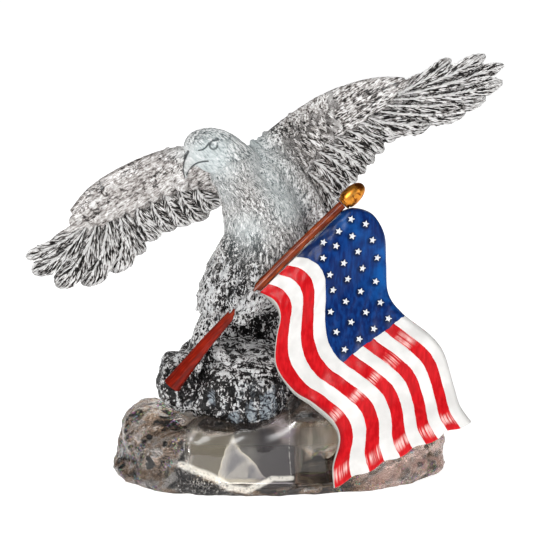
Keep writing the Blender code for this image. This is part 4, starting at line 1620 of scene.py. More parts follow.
def strands(kind, facts, places):
    """Places stretched so that even noise on them gives the strands of each kind of skin."""
    number, row = facts[:, 8], facts[:, 9]
    s, t, barb, along_barb = blade_places(facts)
    side = np.sign(t) * 3.1
    vane = np.column_stack((barb / 0.62, along_barb / 3.2, number * 5.3 + side))
    short = np.column_stack((t / 0.60, s / 2.2, number * 3.7 + row))
    found = np.where((row > SCALE)[:, None], short, vane)
    on_wing = zones(kind, places)[:, 1] + 0.45 * soft_noise(places / 2.5, 14) > 0.5
    found = np.where((kind == SKIN)[:, None], places / (0.8, 0.8, 1.4), found)
    hairy = on_wing & ((kind == SKIN) | ((kind == FEATHER) & (row > COVERT)))
    found = np.where(hairy[:, None], flow(places), found)
    found = np.where((kind == HEAD)[:, None], swept(places) / (2.2, 0.8, 0.8), found)
    found = np.where((kind == FOOT)[:, None], places / 0.8, found)
    return np.where((kind == ROCK)[:, None], places / (0.8, 0.8, 1.7), found)


def carve(thing, facts):
    """Moves the skin's points by the relief, and keeps what the shader needs."""
    mesh = thing.data
    places = read(mesh) / UNIT
    kind = np.rint(facts[:, 0])
    zone = zones(kind, places)
    lit, wing_part, dark = zone.T
    crushed, crest = crumple(places, 8.5, 21)
    tight, tight_crest = crumple(places * (1, 1, 0.7), 4.6, 31)
    rough = soft_noise(places * (1, 1, 0.35) / 0.9, 9)
    relief = np.where(kind == FEATHER, feather_relief(facts, places), 0.10 * rough)
    relief = relief * (1 - 0.45 * dark) + 0.50 * tight * dark
    relief = np.where(kind == ROCK, 0.85 * crushed, relief)
    relief = np.where(kind == FOOT, 0.3 * tight, relief)
    relief = np.where(kind == HEAD, head_relief(places), relief)
    push_out(mesh, places, relief)
    crests = np.where(kind == ROCK, crest, tight_crest * dark)
    row = np.where(kind == FEATHER, facts[:, 9], 9)
    _, t, barb, _ = blade_places(facts)
    is_flight = (row < COVERT).astype(float)
    is_small = (row < TUFT) * (1 - is_flight)
    width, _, length = np.abs(facts[:, 4:7]).T * MM
    to_edge = np.minimum(width / 2 - np.abs(t), length * (1 - facts[:, 3]))
    chosen = 0.3 + 0.7 * band(soft_noise(places / 7, 12), 0.0, 0.3)
    outline = np.exp(-(((to_edge - 0.2) / 0.4) ** 2)) * is_small * chosen
    wedge = 0.30 + 0.75 * np.clip(1 - facts[:, 3] / 0.8, 0, 1)
    shaft = np.exp(-((t / wedge) ** 2)) * is_flight * (1 - 0.3 * facts[:, 3])
    # Where shade is painted: the hollow between the legs, the edges of small feathers, the wing
    # skin.
    cut = cavity(places) + outline * np.where(row > SCALE, 0.45, 0.3)
    cut = cut + 0.16 * (kind == SKIN) * wing_part
    write(mesh, "zone", zone)
    write(mesh, "relief", np.column_stack((relief, crests, cut)))
    write(mesh, "strand", strands(kind, facts, places))
    write(mesh, "vane", np.column_stack((barb / FINE_PITCH, is_flight, shaft)))
    x, _, z = places.T
    crown = np.maximum(band(z, 155, 158), band(x, -24, -14))
    on_arm = is_small + (kind == SKIN) * wing_part
    smooth_arm = on_arm * np.where(x < 0, 0.8, 0.42)
    soft_body = np.maximum(0.4 * lit, 0.5 * band(z, 102, 118)) * (1 - on_arm) * (1 - wing_part)
    write(mesh, "calm", np.where(kind == HEAD, 0.88 - 0.5 * crown, smooth_arm + soft_body))
    print("relief, mm:", relief.min().round(2), "to", relief.max().round(2))


def thin_out(thing, most):
    """Keeps the triangles that shape the form best, up to a number."""
    simplify = thing.modifiers.new("simplify", "DECIMATE")
    simplify.ratio = most / len(triangles(thing.data))
    return settle(thing)


def take_out(thing, cutter):
    """Takes a closed cutter out of a piece."""
    boolean = thing.modifiers.new("cut", "BOOLEAN")
    boolean.operation = "DIFFERENCE"
    boolean.solver = "MANIFOLD"
    boolean.object = cutter
    settle(thing)
    bpy.data.objects.remove(cutter)


EAGLE_TRIANGLES = 192000

carve(eagle, facts)
thin_out(eagle, EAGLE_TRIANGLES)
print("after thinning:", len(triangles(eagle.data)), [a.name for a in eagle.data.attributes])

# %% [markdown]
# ## What the eagle makes room for
#
# The pole runs through the feathers of the near leg, and the flag lies against the thigh. The
# same bodies, a clearance larger, are cut out of the casting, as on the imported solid. Its foot
# is cut level where it stands in the base.

# %% Cut the pole's way, the flag's bed and the level foot
BEYOND = 0.217
PERCH_SEAT = 0.0268


def flag_grid(depth, margin, flat_at=None):
    """Points of the flag at one depth, a margin beyond its edges, or brought to one plane."""
    grid = []
    for i in range(CAST_ALONG + 1):
        for j in range(CAST_ACROSS + 1):
            u, v = i / CAST_ALONG, j / CAST_ACROSS
            spot = flag_point(u, v, depth)
            ahead = flag_point(min(u + 0.02, 1), v) - flag_point(max(u - 0.02, 0), v)
            aside = flag_point(u, 1) - flag_point(u, 0)
            spot += ahead.normalized() * margin * ((i == CAST_ALONG) - (i == 0))
            spot += aside.normalized() * margin * ((j == CAST_ACROSS) - (j == 0))
            if flat_at is not None:
                spot.y = flat_at
            grid.append(spot)
    return grid


def flag_bed():
    """A cutter for all that is in front of the flag's back."""
    back = flag_grid(FLAG_THICKNESS + CLEARANCE, CLEARANCE)
    front = flag_grid(0, CLEARANCE, flat_at=-BEYOND)
    return new_object("flag_bed", *slab(front, back, CAST_ALONG, CAST_ACROSS))


def pole_bore():
    """A cutter a clearance larger than the pole."""
    longer = [pole_line[0] - (pole_line[1] - pole_line[0]).normalized() * CLEARANCE, *pole_line[1:]]
    return new_object("pole_bore", *turned(longer, pole_profile(CLEARANCE), 24))


def below(level):
    """A cutter for all that is below a level."""
    return block("below", BEYOND, level - BEYOND, level)


for cutter in (flag_bed(), pole_bore(), below(PERCH_SEAT)):
    take_out(eagle, cutter)
print("after the cuts:", len(triangles(eagle.data)), [a.name for a in eagle.data.attributes])

# %% [markdown]
# ## Clear casting
#
# Cast acrylic bends light much as glass does, so the shader transmits part of it, at
# acrylic's index of 1.49. What makes the real piece look silver is its relief: every groove
# gathers dark, and every crest flashes. A renderer finds only part of that at this scale, so
# shade and highlights are painted into the base colour. They follow the relief that was stored
# on the mesh, and noise along the strands: painted shade in the grooves and hollows, painted
# highlights on the crests. The head and chest, which the lamp reaches, are painted as lit, a
# cool grey with a faint glow, and the wings a warm one. The brightest crests glow a little too,
# as painted highlights, as a flash of the lamp does in a photograph.
#
# The lines of the brow, the eye and the mouth are sharper than the mesh, so they are drawn
# in the shader as painted shade in their grooves, as distances from the same points that the
# grooves were cut along.

# %% Lines in the shader
def reach(a, b):
    """The length of a step of a and b."""
    return (a * a + b * b) ** 0.5


def highest(values):
    """The largest of several values."""
    found = values[0]
    for value in values[1:]:
        found = found.most(value)
    return found


def stroke(x, z, line, width):
    """1 on a drawn line and 0 beside it. The width thins out towards the line's end."""
    marks = []
    for n, ((x0, z0), (x1, z1)) in enumerate(zip(line, line[1:])):
        dx, dz = x1 - x0, z1 - z0
        size = dx * dx + dz * dz
        f = ((x - x0) * (dx / size) + (z - z0) * (dz / size)).within_line(0, 1)
        off = reach(x - x0 - f * dx, z - z0 - f * dz)
        thin = width * (1 - 0.5 * n / len(line))
        marks.append(1 - off.within(thin * 0.4, thin * 1.3))
    return highest(marks)


def ramp(value, stops):
    """Colours along a value."""
    return node(value.tree, "ShaderNodeValToRGB", {"stops": stops}, {0: value})


# %% [markdown]
# The feathers and the shaded glass each get a tone from the sum of their marks, and a ramp turns
# the tone into greys: warm on the wings, cool where the head is painted as lit, and nearly black,
# as painted shade, on the legs and perch. Below the breast the feathers give way to the shaded
# glass along a frayed fringe.

# %% Material of the clear casting
WARM_GREYS = (
    (0.0, (0.002, 0.0018, 0.0016)),
    (0.3, (0.030, 0.025, 0.023)),
    (0.5, (0.33, 0.295, 0.28)),
    (0.72, (0.70, 0.665, 0.64)),
    (0.92, (1.0, 0.99, 0.98)),
)
COOL_GREYS = (
    (0.0, (0.07, 0.08, 0.082)),
    (0.3, (0.40, 0.435, 0.435)),
    (0.6, (0.70, 0.755, 0.755)),
    (1.0, (1.0, 1.0, 1.0)),
)
DARK_GREYS = (
    (0.0, (0.0005, 0.0005, 0.0005)),
    (0.3, (0.014, 0.012, 0.012)),
    (0.55, (0.09, 0.079, 0.079)),
    (0.78, (0.52, 0.49, 0.48)),
    (0.94, (1.0, 1.0, 1.0)),
)
LEDGE_HIGHLIGHT_LOW, LEDGE_HIGHLIGHT_HIGH = (50, 53), (59, 65)
SHADE_PATCHES = (
    (-14.6, 106, 4.5, 7),
    (-10.5, 98, 5, 8),
    (-3.4, 110.5, 3, 6.5),
    (-13.5, 90, 4, 5),
)
BLUE_GLINTS = ((2, 39, 4.5, 9.5), (-24, 43, 2, 4), (-6, 37, 2.5, 7), (-13, 34, 3, 4))
ACRYLIC_INDEX = 1.49
BLACK = (0, 0, 0)
LINE_SHADE = (0.012, 0.014, 0.016)
GLINT_GLOW = (0.15, 0.15, 0.15)
LAMP_GLOW = (0.035, 0.045, 0.048)
BLUE_REFLECTION = ((0.03, 0.035, 0.055), (0.52, 0.60, 0.66))
BROWN_GLASS = (0.060, 0.026, 0.016)
LINE_WIDTH = 0.42
SHOULDER = (9.5, 160)


def face_lines(here):
    """The dark lines of the brow, the mouth, the beak's edge and the open ring of the eye."""
    x, _, z = in_figure(here)
    across_eye, up_eye = x - EYE_CENTRE[0], z - EYE_CENTRE[2]
    ring = 1 - abs(reach(across_eye, up_eye) - EYE_RADIUS).within(0.25, 0.7)
    ring = ring * (1 - (up_eye + across_eye * 0.4).within(0.5, 1.3))
    pupil = 1 - reach(across_eye + 0.5, up_eye - 0.4).within(0.4, 0.9)
    widths = ((BROW_LINE, 1.3), (MOUTH_LINE, 1.25), (BEAK_EDGE, 1.6))
    lines = [stroke(x, z, line, LINE_WIDTH * wide) for line, wide in widths]
    lines += [stroke(x, z, line, LINE_WIDTH) * 0.42 for line in CROWN_LINES]
    return highest([*lines, ring * 0.9, pupil * 0.5])


def web(place, scale, width):
    """Thin bright lines where noise crosses its middle, like the creases of crumpled foil."""
    fold_shade = speckle(place, scale, 2, Distortion=0.7)
    return 1 - (abs(fold_shade - 0.5) / width).within(0.2, 1.0)


def layers(place, scale, count):
    """Thin dark lines that follow each other round, as in chipped glass."""
    swell = speckle(place, scale, 2, Distortion=0.4)
    return abs((swell * (count * math.pi)).math("SINE"))


def pick_spots(x, z, spots, frayed):
    """1 in any of some upright ovals, with frayed edges."""
    marks = []
    for spot_x, spot_z, wide, high in spots:
        off = reach((x - spot_x) * (1 / wide), (z - spot_z) * (1 / high))
        marks.append(1 - (off + frayed).within(0.5, 1.1))
    return highest(marks)


def clear_casting():
    """Silver feathers, a pale head and breast painted as lit, and shaded glass below them."""
    material, shader, here = new_material(
        "clear_casting",
        Transmission_Weight=0.4,
        IOR=ACRYLIC_INDEX,
        Specular_IOR_Level=0.3,
        Emission_Strength=1.0,
    )
    lit, wing_part, dark = parts(here, "zone")
    height, crest, cut = parts(here, "relief")
    barb, is_vane, shaft = parts(here, "vane")
    strand = carried_vector(here, "strand")
    hollows = carried_number(here, "stands_out")
    calm = carried_number(here, "calm")
    fine = speckle(strand, 1.0, 2)
    hairs = speckle(strand, 1.8, 2)
    middle = speckle(strand, 0.36, 2)
    broad = speckle(here, 130, 2)
    groove = abs(((barb + middle * 2.2) * math.pi).math("SINE"))

    sharp = 1 - calm * 0.85
    tone = 0.53 + ((fine - 0.5) * 3.8 + (hairs - 0.5) * 2.6 + (middle - 0.5) * 2.2) * sharp
    tone = tone + ((groove - 0.6) * 0.9 + (fine - 0.5) * 1.6) * is_vane * sharp
    tone = tone + shaft * 0.8 - is_vane * 0.08 + height * 0.45
    # Painted shade in hollows, where points lie lower than their neighbours.
    tone = tone + hollows * 0.36 * sharp * sharp * (1 - lit * 0.6) + (broad - 0.5) * 0.3
    x, _, z = in_figure(here)
    off_shoulder = reach((x - SHOULDER[0]) * (1 / 10), (z - SHOULDER[1]) * (1 / 5))
    shoulder = 1 - off_shoulder.within(0.7, 1.1)
    bumps = web(here, 330, 0.05) * speckle(here, 95, 2).within(0.53, 0.60)
    # Painted shade in the cut: the hollow between the legs and the edges of small feathers.
    tone = tone + calm * (wing_part * 0.16 + 0.06) - cut * 0.9 - bumps * calm * wing_part * 0.6
    tone = tone - web(here, 420, 0.06) * shoulder * 0.7
    # Painted shade in a few patches on the lower body.
    patch_shade = pick_spots(x, z, SHADE_PATCHES, (middle - 0.5) * 1.4) * (1 - wing_part)
    tone = tone - patch_shade * 0.46 + (hairs - 0.5) * patch_shade * 2.0
    # Where the head and breast are painted as lit by the lamp, the greys turn cool.
    feathers = mix(lit, ramp(tone, WARM_GREYS), ramp(tone, COOL_GREYS))

    long_way = stretched(here, (1, 1, 1.5))
    foil = web(long_way, 280, 0.06) * 0.8 + web(long_way, 620, 0.06) * 0.4
    patches = speckle(stretched(here, (0.8, 0.8, 2.2)), 170, 3)
    streaks = speckle(stretched(here, (7, 7, 1)), 700, 3)
    # A painted highlight in bright streaks along the top ledge of the perch.
    ledge_highlight = z.within(*LEDGE_HIGHLIGHT_LOW) * (1 - z.within(*LEDGE_HIGHLIGHT_HIGH)) * x.within(-24, -20)
    plumage = z.within(58, 66)
    flat_layers = layers(stretched(here, (1.4, 1, 1)), 105, 14)
    tall_layers = layers(stretched(here, (1, 1, 2.6)), 150, 13)
    rings = flat_layers + (tall_layers - flat_layers) * plumage
    beige = 1 - x.within(-36, -28)
    # Painted shade in hollows here too, and painted highlights on crests.
    glass = -0.64 + foil * (0.8 + plumage * 0.5) + rings * 0.70 + crest * 0.2 + hollows * 0.25
    glass = glass - patch_shade * 0.46
    glass = glass + (fine - 0.5) * (2.4 + plumage * 2.4) + (patches - 0.5) * 3.0
    glass = glass + plumage * 0.48 + beige * 0.16 - cut * 0.50
    glass = glass + ledge_highlight * (0.52 + (streaks - 0.5) * 3.0)
    # The legs and perch are painted near black, as glass in shade.
    shaded_glass = ramp(glass, DARK_GREYS)
    # Painted blue reflections in spots and patches on the perch.
    glint = pick_spots(x, z, BLUE_GLINTS, (middle - 0.5) * 2.0)
    glint = glint.most(patches.within(0.54, 0.66) * 0.3)
    folded = (rings * 0.6 + fine).within(0.55, 1.1)
    shaded_glass = mix(glint * (1 - ledge_highlight) * (1 - cut), shaded_glass, mix(folded, *BLUE_REFLECTION))
    brown = (1 - z.within(28, 33)) * patches.within(0.4, 0.6)
    shaded_glass = mix(brown * 0.7, shaded_glass, BROWN_GLASS)
    fringe = (dark + (middle - 0.5) * 1.6 + (patches - 0.5) * 1.2).within(0.36, 0.56)
    colour = mix(fringe * dark.within(0.0, 0.15), feathers, shaded_glass)
    # The head's lines are painted shade in their grooves.
    colour = mix(face_lines(here) * 0.92, colour, LINE_SHADE)
    facets = fine * 0.6 * sharp + groove * is_vane * 0.4 + foil * dark
    brightest = tone.within(0.85, 1.15) * (1 - dark) + glass.within(0.75, 1.05) * dark
    sparkle = mix(brightest, BLACK, GLINT_GLOW)
    unlit = 1 - lit * (1 - wing_part)
    sparkle = mix(brightest.most(unlit), LAMP_GLOW, sparkle)
    feed(shader, Base_Color=colour, Roughness=0.07 + fine * 0.2)
    feed(shader, Emission_Color=sparkle)
    feed(shader, Normal=bump(facets, 0.0009, 0.9))
    return material


write(eagle.data, "stands_out", np.clip(hollow(eagle.data) * MM / 0.08, -1.5, 1.5))
dress(eagle, clear_casting(), "clear_casting", "eagle_on_perch")

# %% [markdown]
# ## Clear rock base
#
# The base is a second casting: a rough block with a smooth window ground in its front, through
# which the light shows. Its rings are the footprint carried up and over, and the same crumpled
# skin as on the perch is pressed into it, except on the window. It makes room for the foot of
# the perch, for the flag and for the light.

# %% Shape the base
BASE_OUTLINE = (
    (-69.5, -4, 29),
    (-66, -18, 27),
    (-52, -33, 26),
    (-35, -41.5, 28),
    (-14, -43, 28),
    (6, -43, 31),
    (22, -41, 38),
    (34, -38.5, 34),
    (47, -36, 30),
    (62, -29, 29),
    (74.5, -19, 28),
    (84, -3, 27),
    (85, 14, 29),
    (76, 30, 32),
    (50, 40, 36),
    (10, 43, 36),
    (-30, 41, 33),
    (-55, 31, 25.5),
    (-67.5, 13, 27),
)
BASE_RINGS = (
    (1.0, -0.1),
    (1.0, 0.02),
    (1.02, 0.12),
    (0.985, 0.3),
    (0.98, 0.55),
    (0.965, 0.8),
    (0.92, 0.96),
    (0.86, 1.03),
    (0.74, 1.1),
    (0.5, 1.14),
    (0.22, 1.16),
)
BASE_ROUGHNESS = 2.0
BASE_RIGHT_UNDERCUT = 1.2
BASE_GRAIN = 0.001
BASE_TRIANGLES = 120000


def rock_base_body(around=150, steps=40):
    """The base: the footprint carried up to the rim, then in over the top."""
    outline = BASE_OUTLINE + BASE_OUTLINE[:1]
    rings = []
    for i in range(steps + 1):
        reach, height = along(BASE_RINGS, i / steps)
        ring = []
        for k in range(around):
            x, y, rim = along(outline, k / around)
            spot = Vector((x * reach, y * reach, rim * height))
            out = Vector((x, y, 0)).normalized()
            under = BASE_RIGHT_UNDERCUT * max(0.0, 1 - height / 0.3) * max(0.0, x / 84)
            window = -34 < x < 34 and y < 0
            rough = noise.ridged_multi_fractal(spot * 0.06, 0.8, 2.1, 3, 0.9, 2.0) - 1.2
            spot += out * (rough * BASE_ROUGHNESS * (0.25 if window else 1.0) - under)
            spot.z += noise.noise(spot * 0.08) * BASE_ROUGHNESS * 2 * (height > 0.7)
            ring.append(units(spot))
        rings.append(ring)
    return loft(rings)


def window_share(places):
    """1 on the smooth window in the front of the base, and 0 on its rough parts."""
    x, y, z = places.T
    sides = band(x, -36, -34) * (1 - band(x, 33, 36))
    foot = 3 + 0.44 * np.clip(-14 - x, 0, None)
    top = 27 + 6 * band(x, -16, 14) + 1.2 * soft_noise(places / 5, 71)
    return sides * (1 - band(y, -33, -27)) * band(z - foot, 0, 1.5) * (1 - band(z - top, 0, 1.5))


def rumple(thing):
    """Presses the crumpled skin into the rough parts of the base."""
    mesh = thing.data
    places = read(mesh) / UNIT
    window = window_share(places)
    broad, _ = crumple(places * (0.8, 1, 1.2), 15, 41)
    small, crest = crumple(places * (0.7, 1, 1.4), 6.5, 51)
    relief = (1.1 * broad + 0.55 * small) * (1 - window)
    relief = relief + 0.05 * soft_noise(places / 7, 61) * window
    push_out(mesh, places, relief)
    write(mesh, "relief", np.column_stack((relief, crest, 1 - window)))


body_points, body_faces = rock_base_body()
shape = new_object("shape", body_points, body_faces)
base = melt("rock_base_casting", read(shape.data), triangles(shape.data), BASE_GRAIN)
bpy.data.objects.remove(shape)
rumple(base)
thin_out(base, BASE_TRIANGLES)
print("base skin:", len(triangles(base.data)), "triangles")

# %% [markdown]
# The foot of the perch is as rough as the rest. Its socket is the foot's convex hull, a
# clearance larger and open above, so that the perch can be lowered in. The light's recess is
# the light unit's own form, a clearance larger, and opens below.

# %% Cut its seats
LIGHT_UNIT_WIDTH = 0.047
LIGHT_UNIT_DEPTH = 0.040
LIGHT_UNIT_HEIGHT = 0.019
LIGHT_UNIT_CORNER = 0.004
LIGHT_UNIT_INSET = 0.0005
LENS_RADIUS = 0.007
LENS_HEIGHT = 0.002
SOCKET_REACH = 46


def hull(points):
    """The convex hull of points: its points and faces."""
    bm = bmesh.new()
    for point in points:
        bm.verts.new(point)
    made = bmesh.ops.convex_hull(bm, input=bm.verts)
    spare = made["geom_interior"] + made["geom_unused"]
    inner = {g for g in spare if isinstance(g, bmesh.types.BMVert)}
    bmesh.ops.delete(bm, geom=list(inner), context="VERTS")
    bm.verts.index_update()
    body = [v.co.copy() for v in bm.verts], [tuple(v.index for v in f.verts) for f in bm.faces]
    bm.free()
    return body


def perch_socket(seated):
    """A cutter for the foot of the perch: its hull, a clearance larger, and open above."""
    places = read(seated.data)
    foot = places[places[:, 2] < SOCKET_REACH * UNIT]
    corners, _ = hull(foot.tolist())
    spread = []
    for p in corners:
        for dx in (-2, 2):
            for dy in (-2, 2):
                x, y = p.x + dx * CLEARANCE, p.y + dy * CLEARANCE
                spread += [(x, y, p.z - CLEARANCE), (x, y, SOCKET_REACH * UNIT + BEYOND)]
    return new_object("perch_socket", *hull(spread))


def rounded_ring(width, depth, level, corner, steps=8):
    """A level rectangle with round corners, about the light unit's centre."""
    centre = Vector((LIGHT_UNIT_CENTRE[0] * UNIT, LIGHT_UNIT_CENTRE[1] * UNIT, level))
    ring = []
    for sx, sy, first in ((1, 1, 0), (-1, 1, 1), (-1, -1, 2), (1, -1, 3)):
        hub = centre + Vector((sx * (width / 2 - corner), sy * (depth / 2 - corner), 0))
        for k in range(steps + 1):
            a = math.pi / 2 * (first + (k + 0.1) / (steps + 0.2))
            ring.append(hub + Vector((math.cos(a), math.sin(a), 0)) * corner)
    return ring


def light_recess():
    """A cutter for the light unit: its housing and its lens, a clearance larger."""
    spare = CLEARANCE
    top = LIGHT_UNIT_INSET + LIGHT_UNIT_HEIGHT + spare
    width, depth = LIGHT_UNIT_WIDTH + 2 * spare, LIGHT_UNIT_DEPTH + 2 * spare
    lens = LENS_RADIUS + spare
    housing = [rounded_ring(width, depth, level, LIGHT_UNIT_CORNER) for level in (-BEYOND, top)]
    boss = [rounded_ring(2 * lens, 2 * lens, level, lens) for level in (top, top + LENS_HEIGHT)]
    return new_object("light_recess", *loft(housing + boss))


for cutter in (perch_socket(eagle), below(0), flag_bed(), light_recess()):
    take_out(base, cutter)
print("after the cuts:", len(triangles(base.data)), [a.name for a in base.data.attributes])

# %% [markdown]
# ## Light unit
#
# A battery light is a moulded housing with a raised lens. Its upper edge is rounded and its
# lens is domed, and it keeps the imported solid's size. It shows through the window as a grey
# wall with the pale patch of its lamp.

# %% Model the light unit
EDGE_RADIUS = 0.0012
PARTING_GROOVE = ((0, 0.003), (0.0003, 0.0032), (0.0003, 0.0036), (0, 0.0038))
LENS_PROFILE = (
    (0.999, 0.02),
    (0.999, 0.1),
    (1.0, 0.12),
    (0.97, 0.5),
    (0.8, 0.82),
    (0.5, 0.96),
    (0.1, 1),
)


def light_body():
    """The light unit, from its foot to the dome of its lens."""
    rings = []
    foot, top = LIGHT_UNIT_INSET, LIGHT_UNIT_INSET + LIGHT_UNIT_HEIGHT
    profile = [(EDGE_RADIUS / 2, foot), (0, foot + EDGE_RADIUS / 2)]
    profile += [(inset, foot + level) for inset, level in PARTING_GROOVE]
    for k in range(7):
        a = math.pi / 2 * k / 6
        profile.append((EDGE_RADIUS * (1 - math.cos(a)), top - EDGE_RADIUS * (1 - math.sin(a))))
    for inset, level in profile:
        width, depth = LIGHT_UNIT_WIDTH - 2 * inset, LIGHT_UNIT_DEPTH - 2 * inset
        rings.append(rounded_ring(width, depth, level, LIGHT_UNIT_CORNER - inset))
    for reach, level in LENS_PROFILE:
        radius = LENS_RADIUS * reach
        rings.append(rounded_ring(2 * radius, 2 * radius, top + LENS_HEIGHT * level, radius))
    return loft(rings)


light = new_object("battery_light", *light_body())
light.data.shade_smooth()
light.data.set_sharp_from_angle(angle=math.radians(35))
print("light unit:", len(triangles(light.data)), "triangles")

# %% [markdown]
# ## Materials of the base and the light
#
# The rough ends of the base are tan, with black shards, and specks of all colours painted as
# glints where the facets throw the light back. The right end is rosier, with a painted glow of
# the lamp. The window is clear, with a dark brown band under the perch. A pale line of painted
# light runs along its foot, and thin painted glints at its sides, where the ground face bends the
# light.

# %% Material of the base
TAN = (
    (0.0, (0.004, 0.003, 0.003)),
    (0.2, (0.012, 0.009, 0.007)),
    (0.32, (0.20, 0.115, 0.062)),
    (0.62, (0.55, 0.34, 0.21)),
    (0.85, (0.90, 0.68, 0.52)),
    (1.0, (1.0, 0.96, 0.92)),
)
ROSE = (1.0, 0.78, 0.70)
ROSE_GLOW = (0.17, 0.090, 0.068)
CREAM = (0.74, 0.71, 0.64)
SPLINTER = (0.002, 0.002, 0.002)
SPECK = (0.006, 0.006, 0.006)
UNDER_PERCH_BROWN = (0.050, 0.030, 0.020)
WINDOW_TINTS = ((0.77, 0.73, 0.66), (0.38, 0.355, 0.365))
FAR_TINTS = ((0.06, 0.048, 0.034), (0.16, 0.125, 0.09))


def cells(place, scale, output=1):
    """Cells of one random colour each, or the distance in them at output 0."""
    return node(place.tree, "ShaderNodeTexVoronoi", None, {0: place, 2: scale}, output)


def channel(colour, number):
    """The red, green or blue of a colour."""
    return node(colour.tree, "ShaderNodeSeparateColor", None, {0: colour}, output=number)


def shards(here, turn, share):
    """Long dark splinters in one direction."""
    place = stretched(here, (5, 1, 1), (0, turn, 0))
    picked = channel(cells(place, 300), 0).above(1 - share)
    thick = cells(place, 300, output=0)
    return picked * (1 - thick.within(0.35, 0.6))


LIGHT_BAND_LINE = (
    (-37.4, 13.8),
    (-23.8, 8.8),
    (-16, 4.3),
    (-8.3, 2.8),
    (-2.4, 4.8),
    (3.4, 7.8),
    (12.2, 8.3),
)
GLINT_LINE = ((10.7, 44), (11.4, 30), (11.0, 18), (12.1, 8.8))
LEFT_GLINT_LINE = ((-35.6, 30), (-36.2, 22), (-35, 13))


def clear_rock():
    """Tan rock with black splinters round a clear window."""
    material, shader, here = new_material(
        "clear_rock", Transmission_Weight=0.9, IOR=ACRYLIC_INDEX, Emission_Strength=1.0
    )
    height, crest, rough = parts(here, "relief")
    hollows = carried_number(here, "stands_out")
    x, y, z = in_figure(here)
    grit = speckle(here, 900, 3)
    leaning = stretched(here, (2.4, 1, 1), (0, math.radians(-28), 0))
    broad = speckle(leaning, 120, 1.5, Distortion=0.8)
    foil = web(here, 300, 0.06)
    # Painted shade in hollows and painted highlights on crests; lighter towards the right end.
    tone = 0.50 + (broad - 0.5) * 3.6 + height * 0.16 + hollows * 0.16 + (grit - 0.5) * 0.6
    tone = tone + foil * 0.3 + crest * 0.12 + x.within(30, 50) * 0.7
    stone = ramp(tone, TAN)
    stone = mix(x.within(30, 50) * broad.within(0.36, 0.48), stone, ROSE)
    left_splinters = shards(here, math.radians(-32), 0.30)
    splinters = left_splinters.most(shards(here, math.radians(38), 0.2))
    stone = mix(splinters * (1 - x.within(10, 30) * 0.6), stone, SPLINTER)
    dots = cells(here, 1300)
    cluster = speckle(here, 110, 2).within(0.51, 0.57)
    vivid = {0: channel(dots, 1), 1: 0.75, 2: 0.8}
    hue = node(here.tree, "ShaderNodeCombineColor", {"mode": "HSV"}, vivid)
    stone = mix(cluster * 0.85 * channel(dots, 0).above(0.3), stone, SPECK)
    # Specks of all colours, painted as glints where facets throw light back.
    sparks = cluster * channel(dots, 0).above(0.74)
    stone = mix(sparks, stone, hue)

    gritty = (1 - (z + (x + 40) * 0.45).within(12, 16)) * x.within(-42, -38)
    stone = mix(gritty, stone, ramp((grit - 0.5) * 5 + 0.35, DARK_GREYS))
    # A dark brown band along the top of the window, under the perch.
    under_perch = z.within(22, 27) * x.within(-40, -34) * (1 - y.within(-26, -10))
    under_perch_band = ramp(0.24 + (broad - 0.5) * 1.5 + foil * 0.35 + (grit - 0.5), DARK_GREYS)
    under_perch_band = mix(broad.within(0.40, 0.6) * 0.75, under_perch_band, UNDER_PERCH_BROWN)
    stone = mix(under_perch * (1 - x.within(34, 40)), stone, under_perch_band)

    far = x.within(11, 15)
    hanging = speckle(stretched(here, (1, 1, 6)), 260, 2).within(0.40, 0.60)
    clear = mix(far, mix(x.within(-7, 0), *WINDOW_TINTS), mix(hanging, *FAR_TINTS))
    colour = mix(rough, clear, stone)
    front = 1 - y.within(-34, -28)
    frayed = (broad - 0.5) * 2.4
    # Painted light: a pale glowing band along the window's foot, and thin glints at its sides.
    band_of_light = stroke(x, z + frayed, LIGHT_BAND_LINE, 1.9) * 0.95
    seam = stroke(x + frayed * 0.4, z, GLINT_LINE, 0.35).most(stroke(x, z, LEFT_GLINT_LINE, 0.4))
    seam = seam * grit.within(0.42, 0.6) * 0.32
    light = (band_of_light * grit.within(0.2, 0.5)).most(seam) * front
    # A painted glow of the lamp in the rosy right end.
    warm_glow = x.within(26, 46) * rough * (1 - splinters) * broad.within(0.3, 0.6)
    warm_glow = warm_glow * (1 - y.within(-14, 8) * 0.9)
    glints = mix(warm_glow, BLACK, ROSE_GLOW)
    glints = mix(light, glints, CREAM)
    shine = z.within(20, 24) * (1 - z.within(30, 34)) * (1 - rough) * 0.25
    feed(shader, Base_Color=colour, Roughness=0.05 + rough * (0.08 + grit * 0.2) + shine)
    feed(shader, Normal=bump((grit + broad) * rough, 0.0008, 0.7))
    feed(shader, Emission_Color=glints)
    return material


# %% [markdown]
# What shows in the window is the light unit: grey walls, which glow faintly as painted light,
# and the pale patch of its lamp. The patch is drawn on the unit with its outline in figure
# units. The camera looks down at 12 degrees, and acrylic bends that to 8, so a point on the
# unit's top is seen higher by 0.14 of its distance behind the front. The same outline then runs
# on over the upper edge.

# %% Material of the light unit
SIGHT_SLOPE = 0.14
WALLS = ((0.120, 0.098, 0.054), (0.014, 0.012, 0.016))
WALL_CLOUDS = (0.075, 0.065, 0.055)
WALL_GRAIN = (0.22, 0.21, 0.20)
LAMP_SWIRL = ((0.10, 0.11, 0.17), (0.40, 0.40, 0.42))
LAMP_MIDDLE = (0.66, 0.66, 0.68)
LAMP_RIM = (0.90, 0.86, 0.74)
LAMP_FOOT = (0.74, 0.70, 0.60)
PLASTIC = ((0.02, 0.02, 0.02), (0.2, 0.2, 0.2))


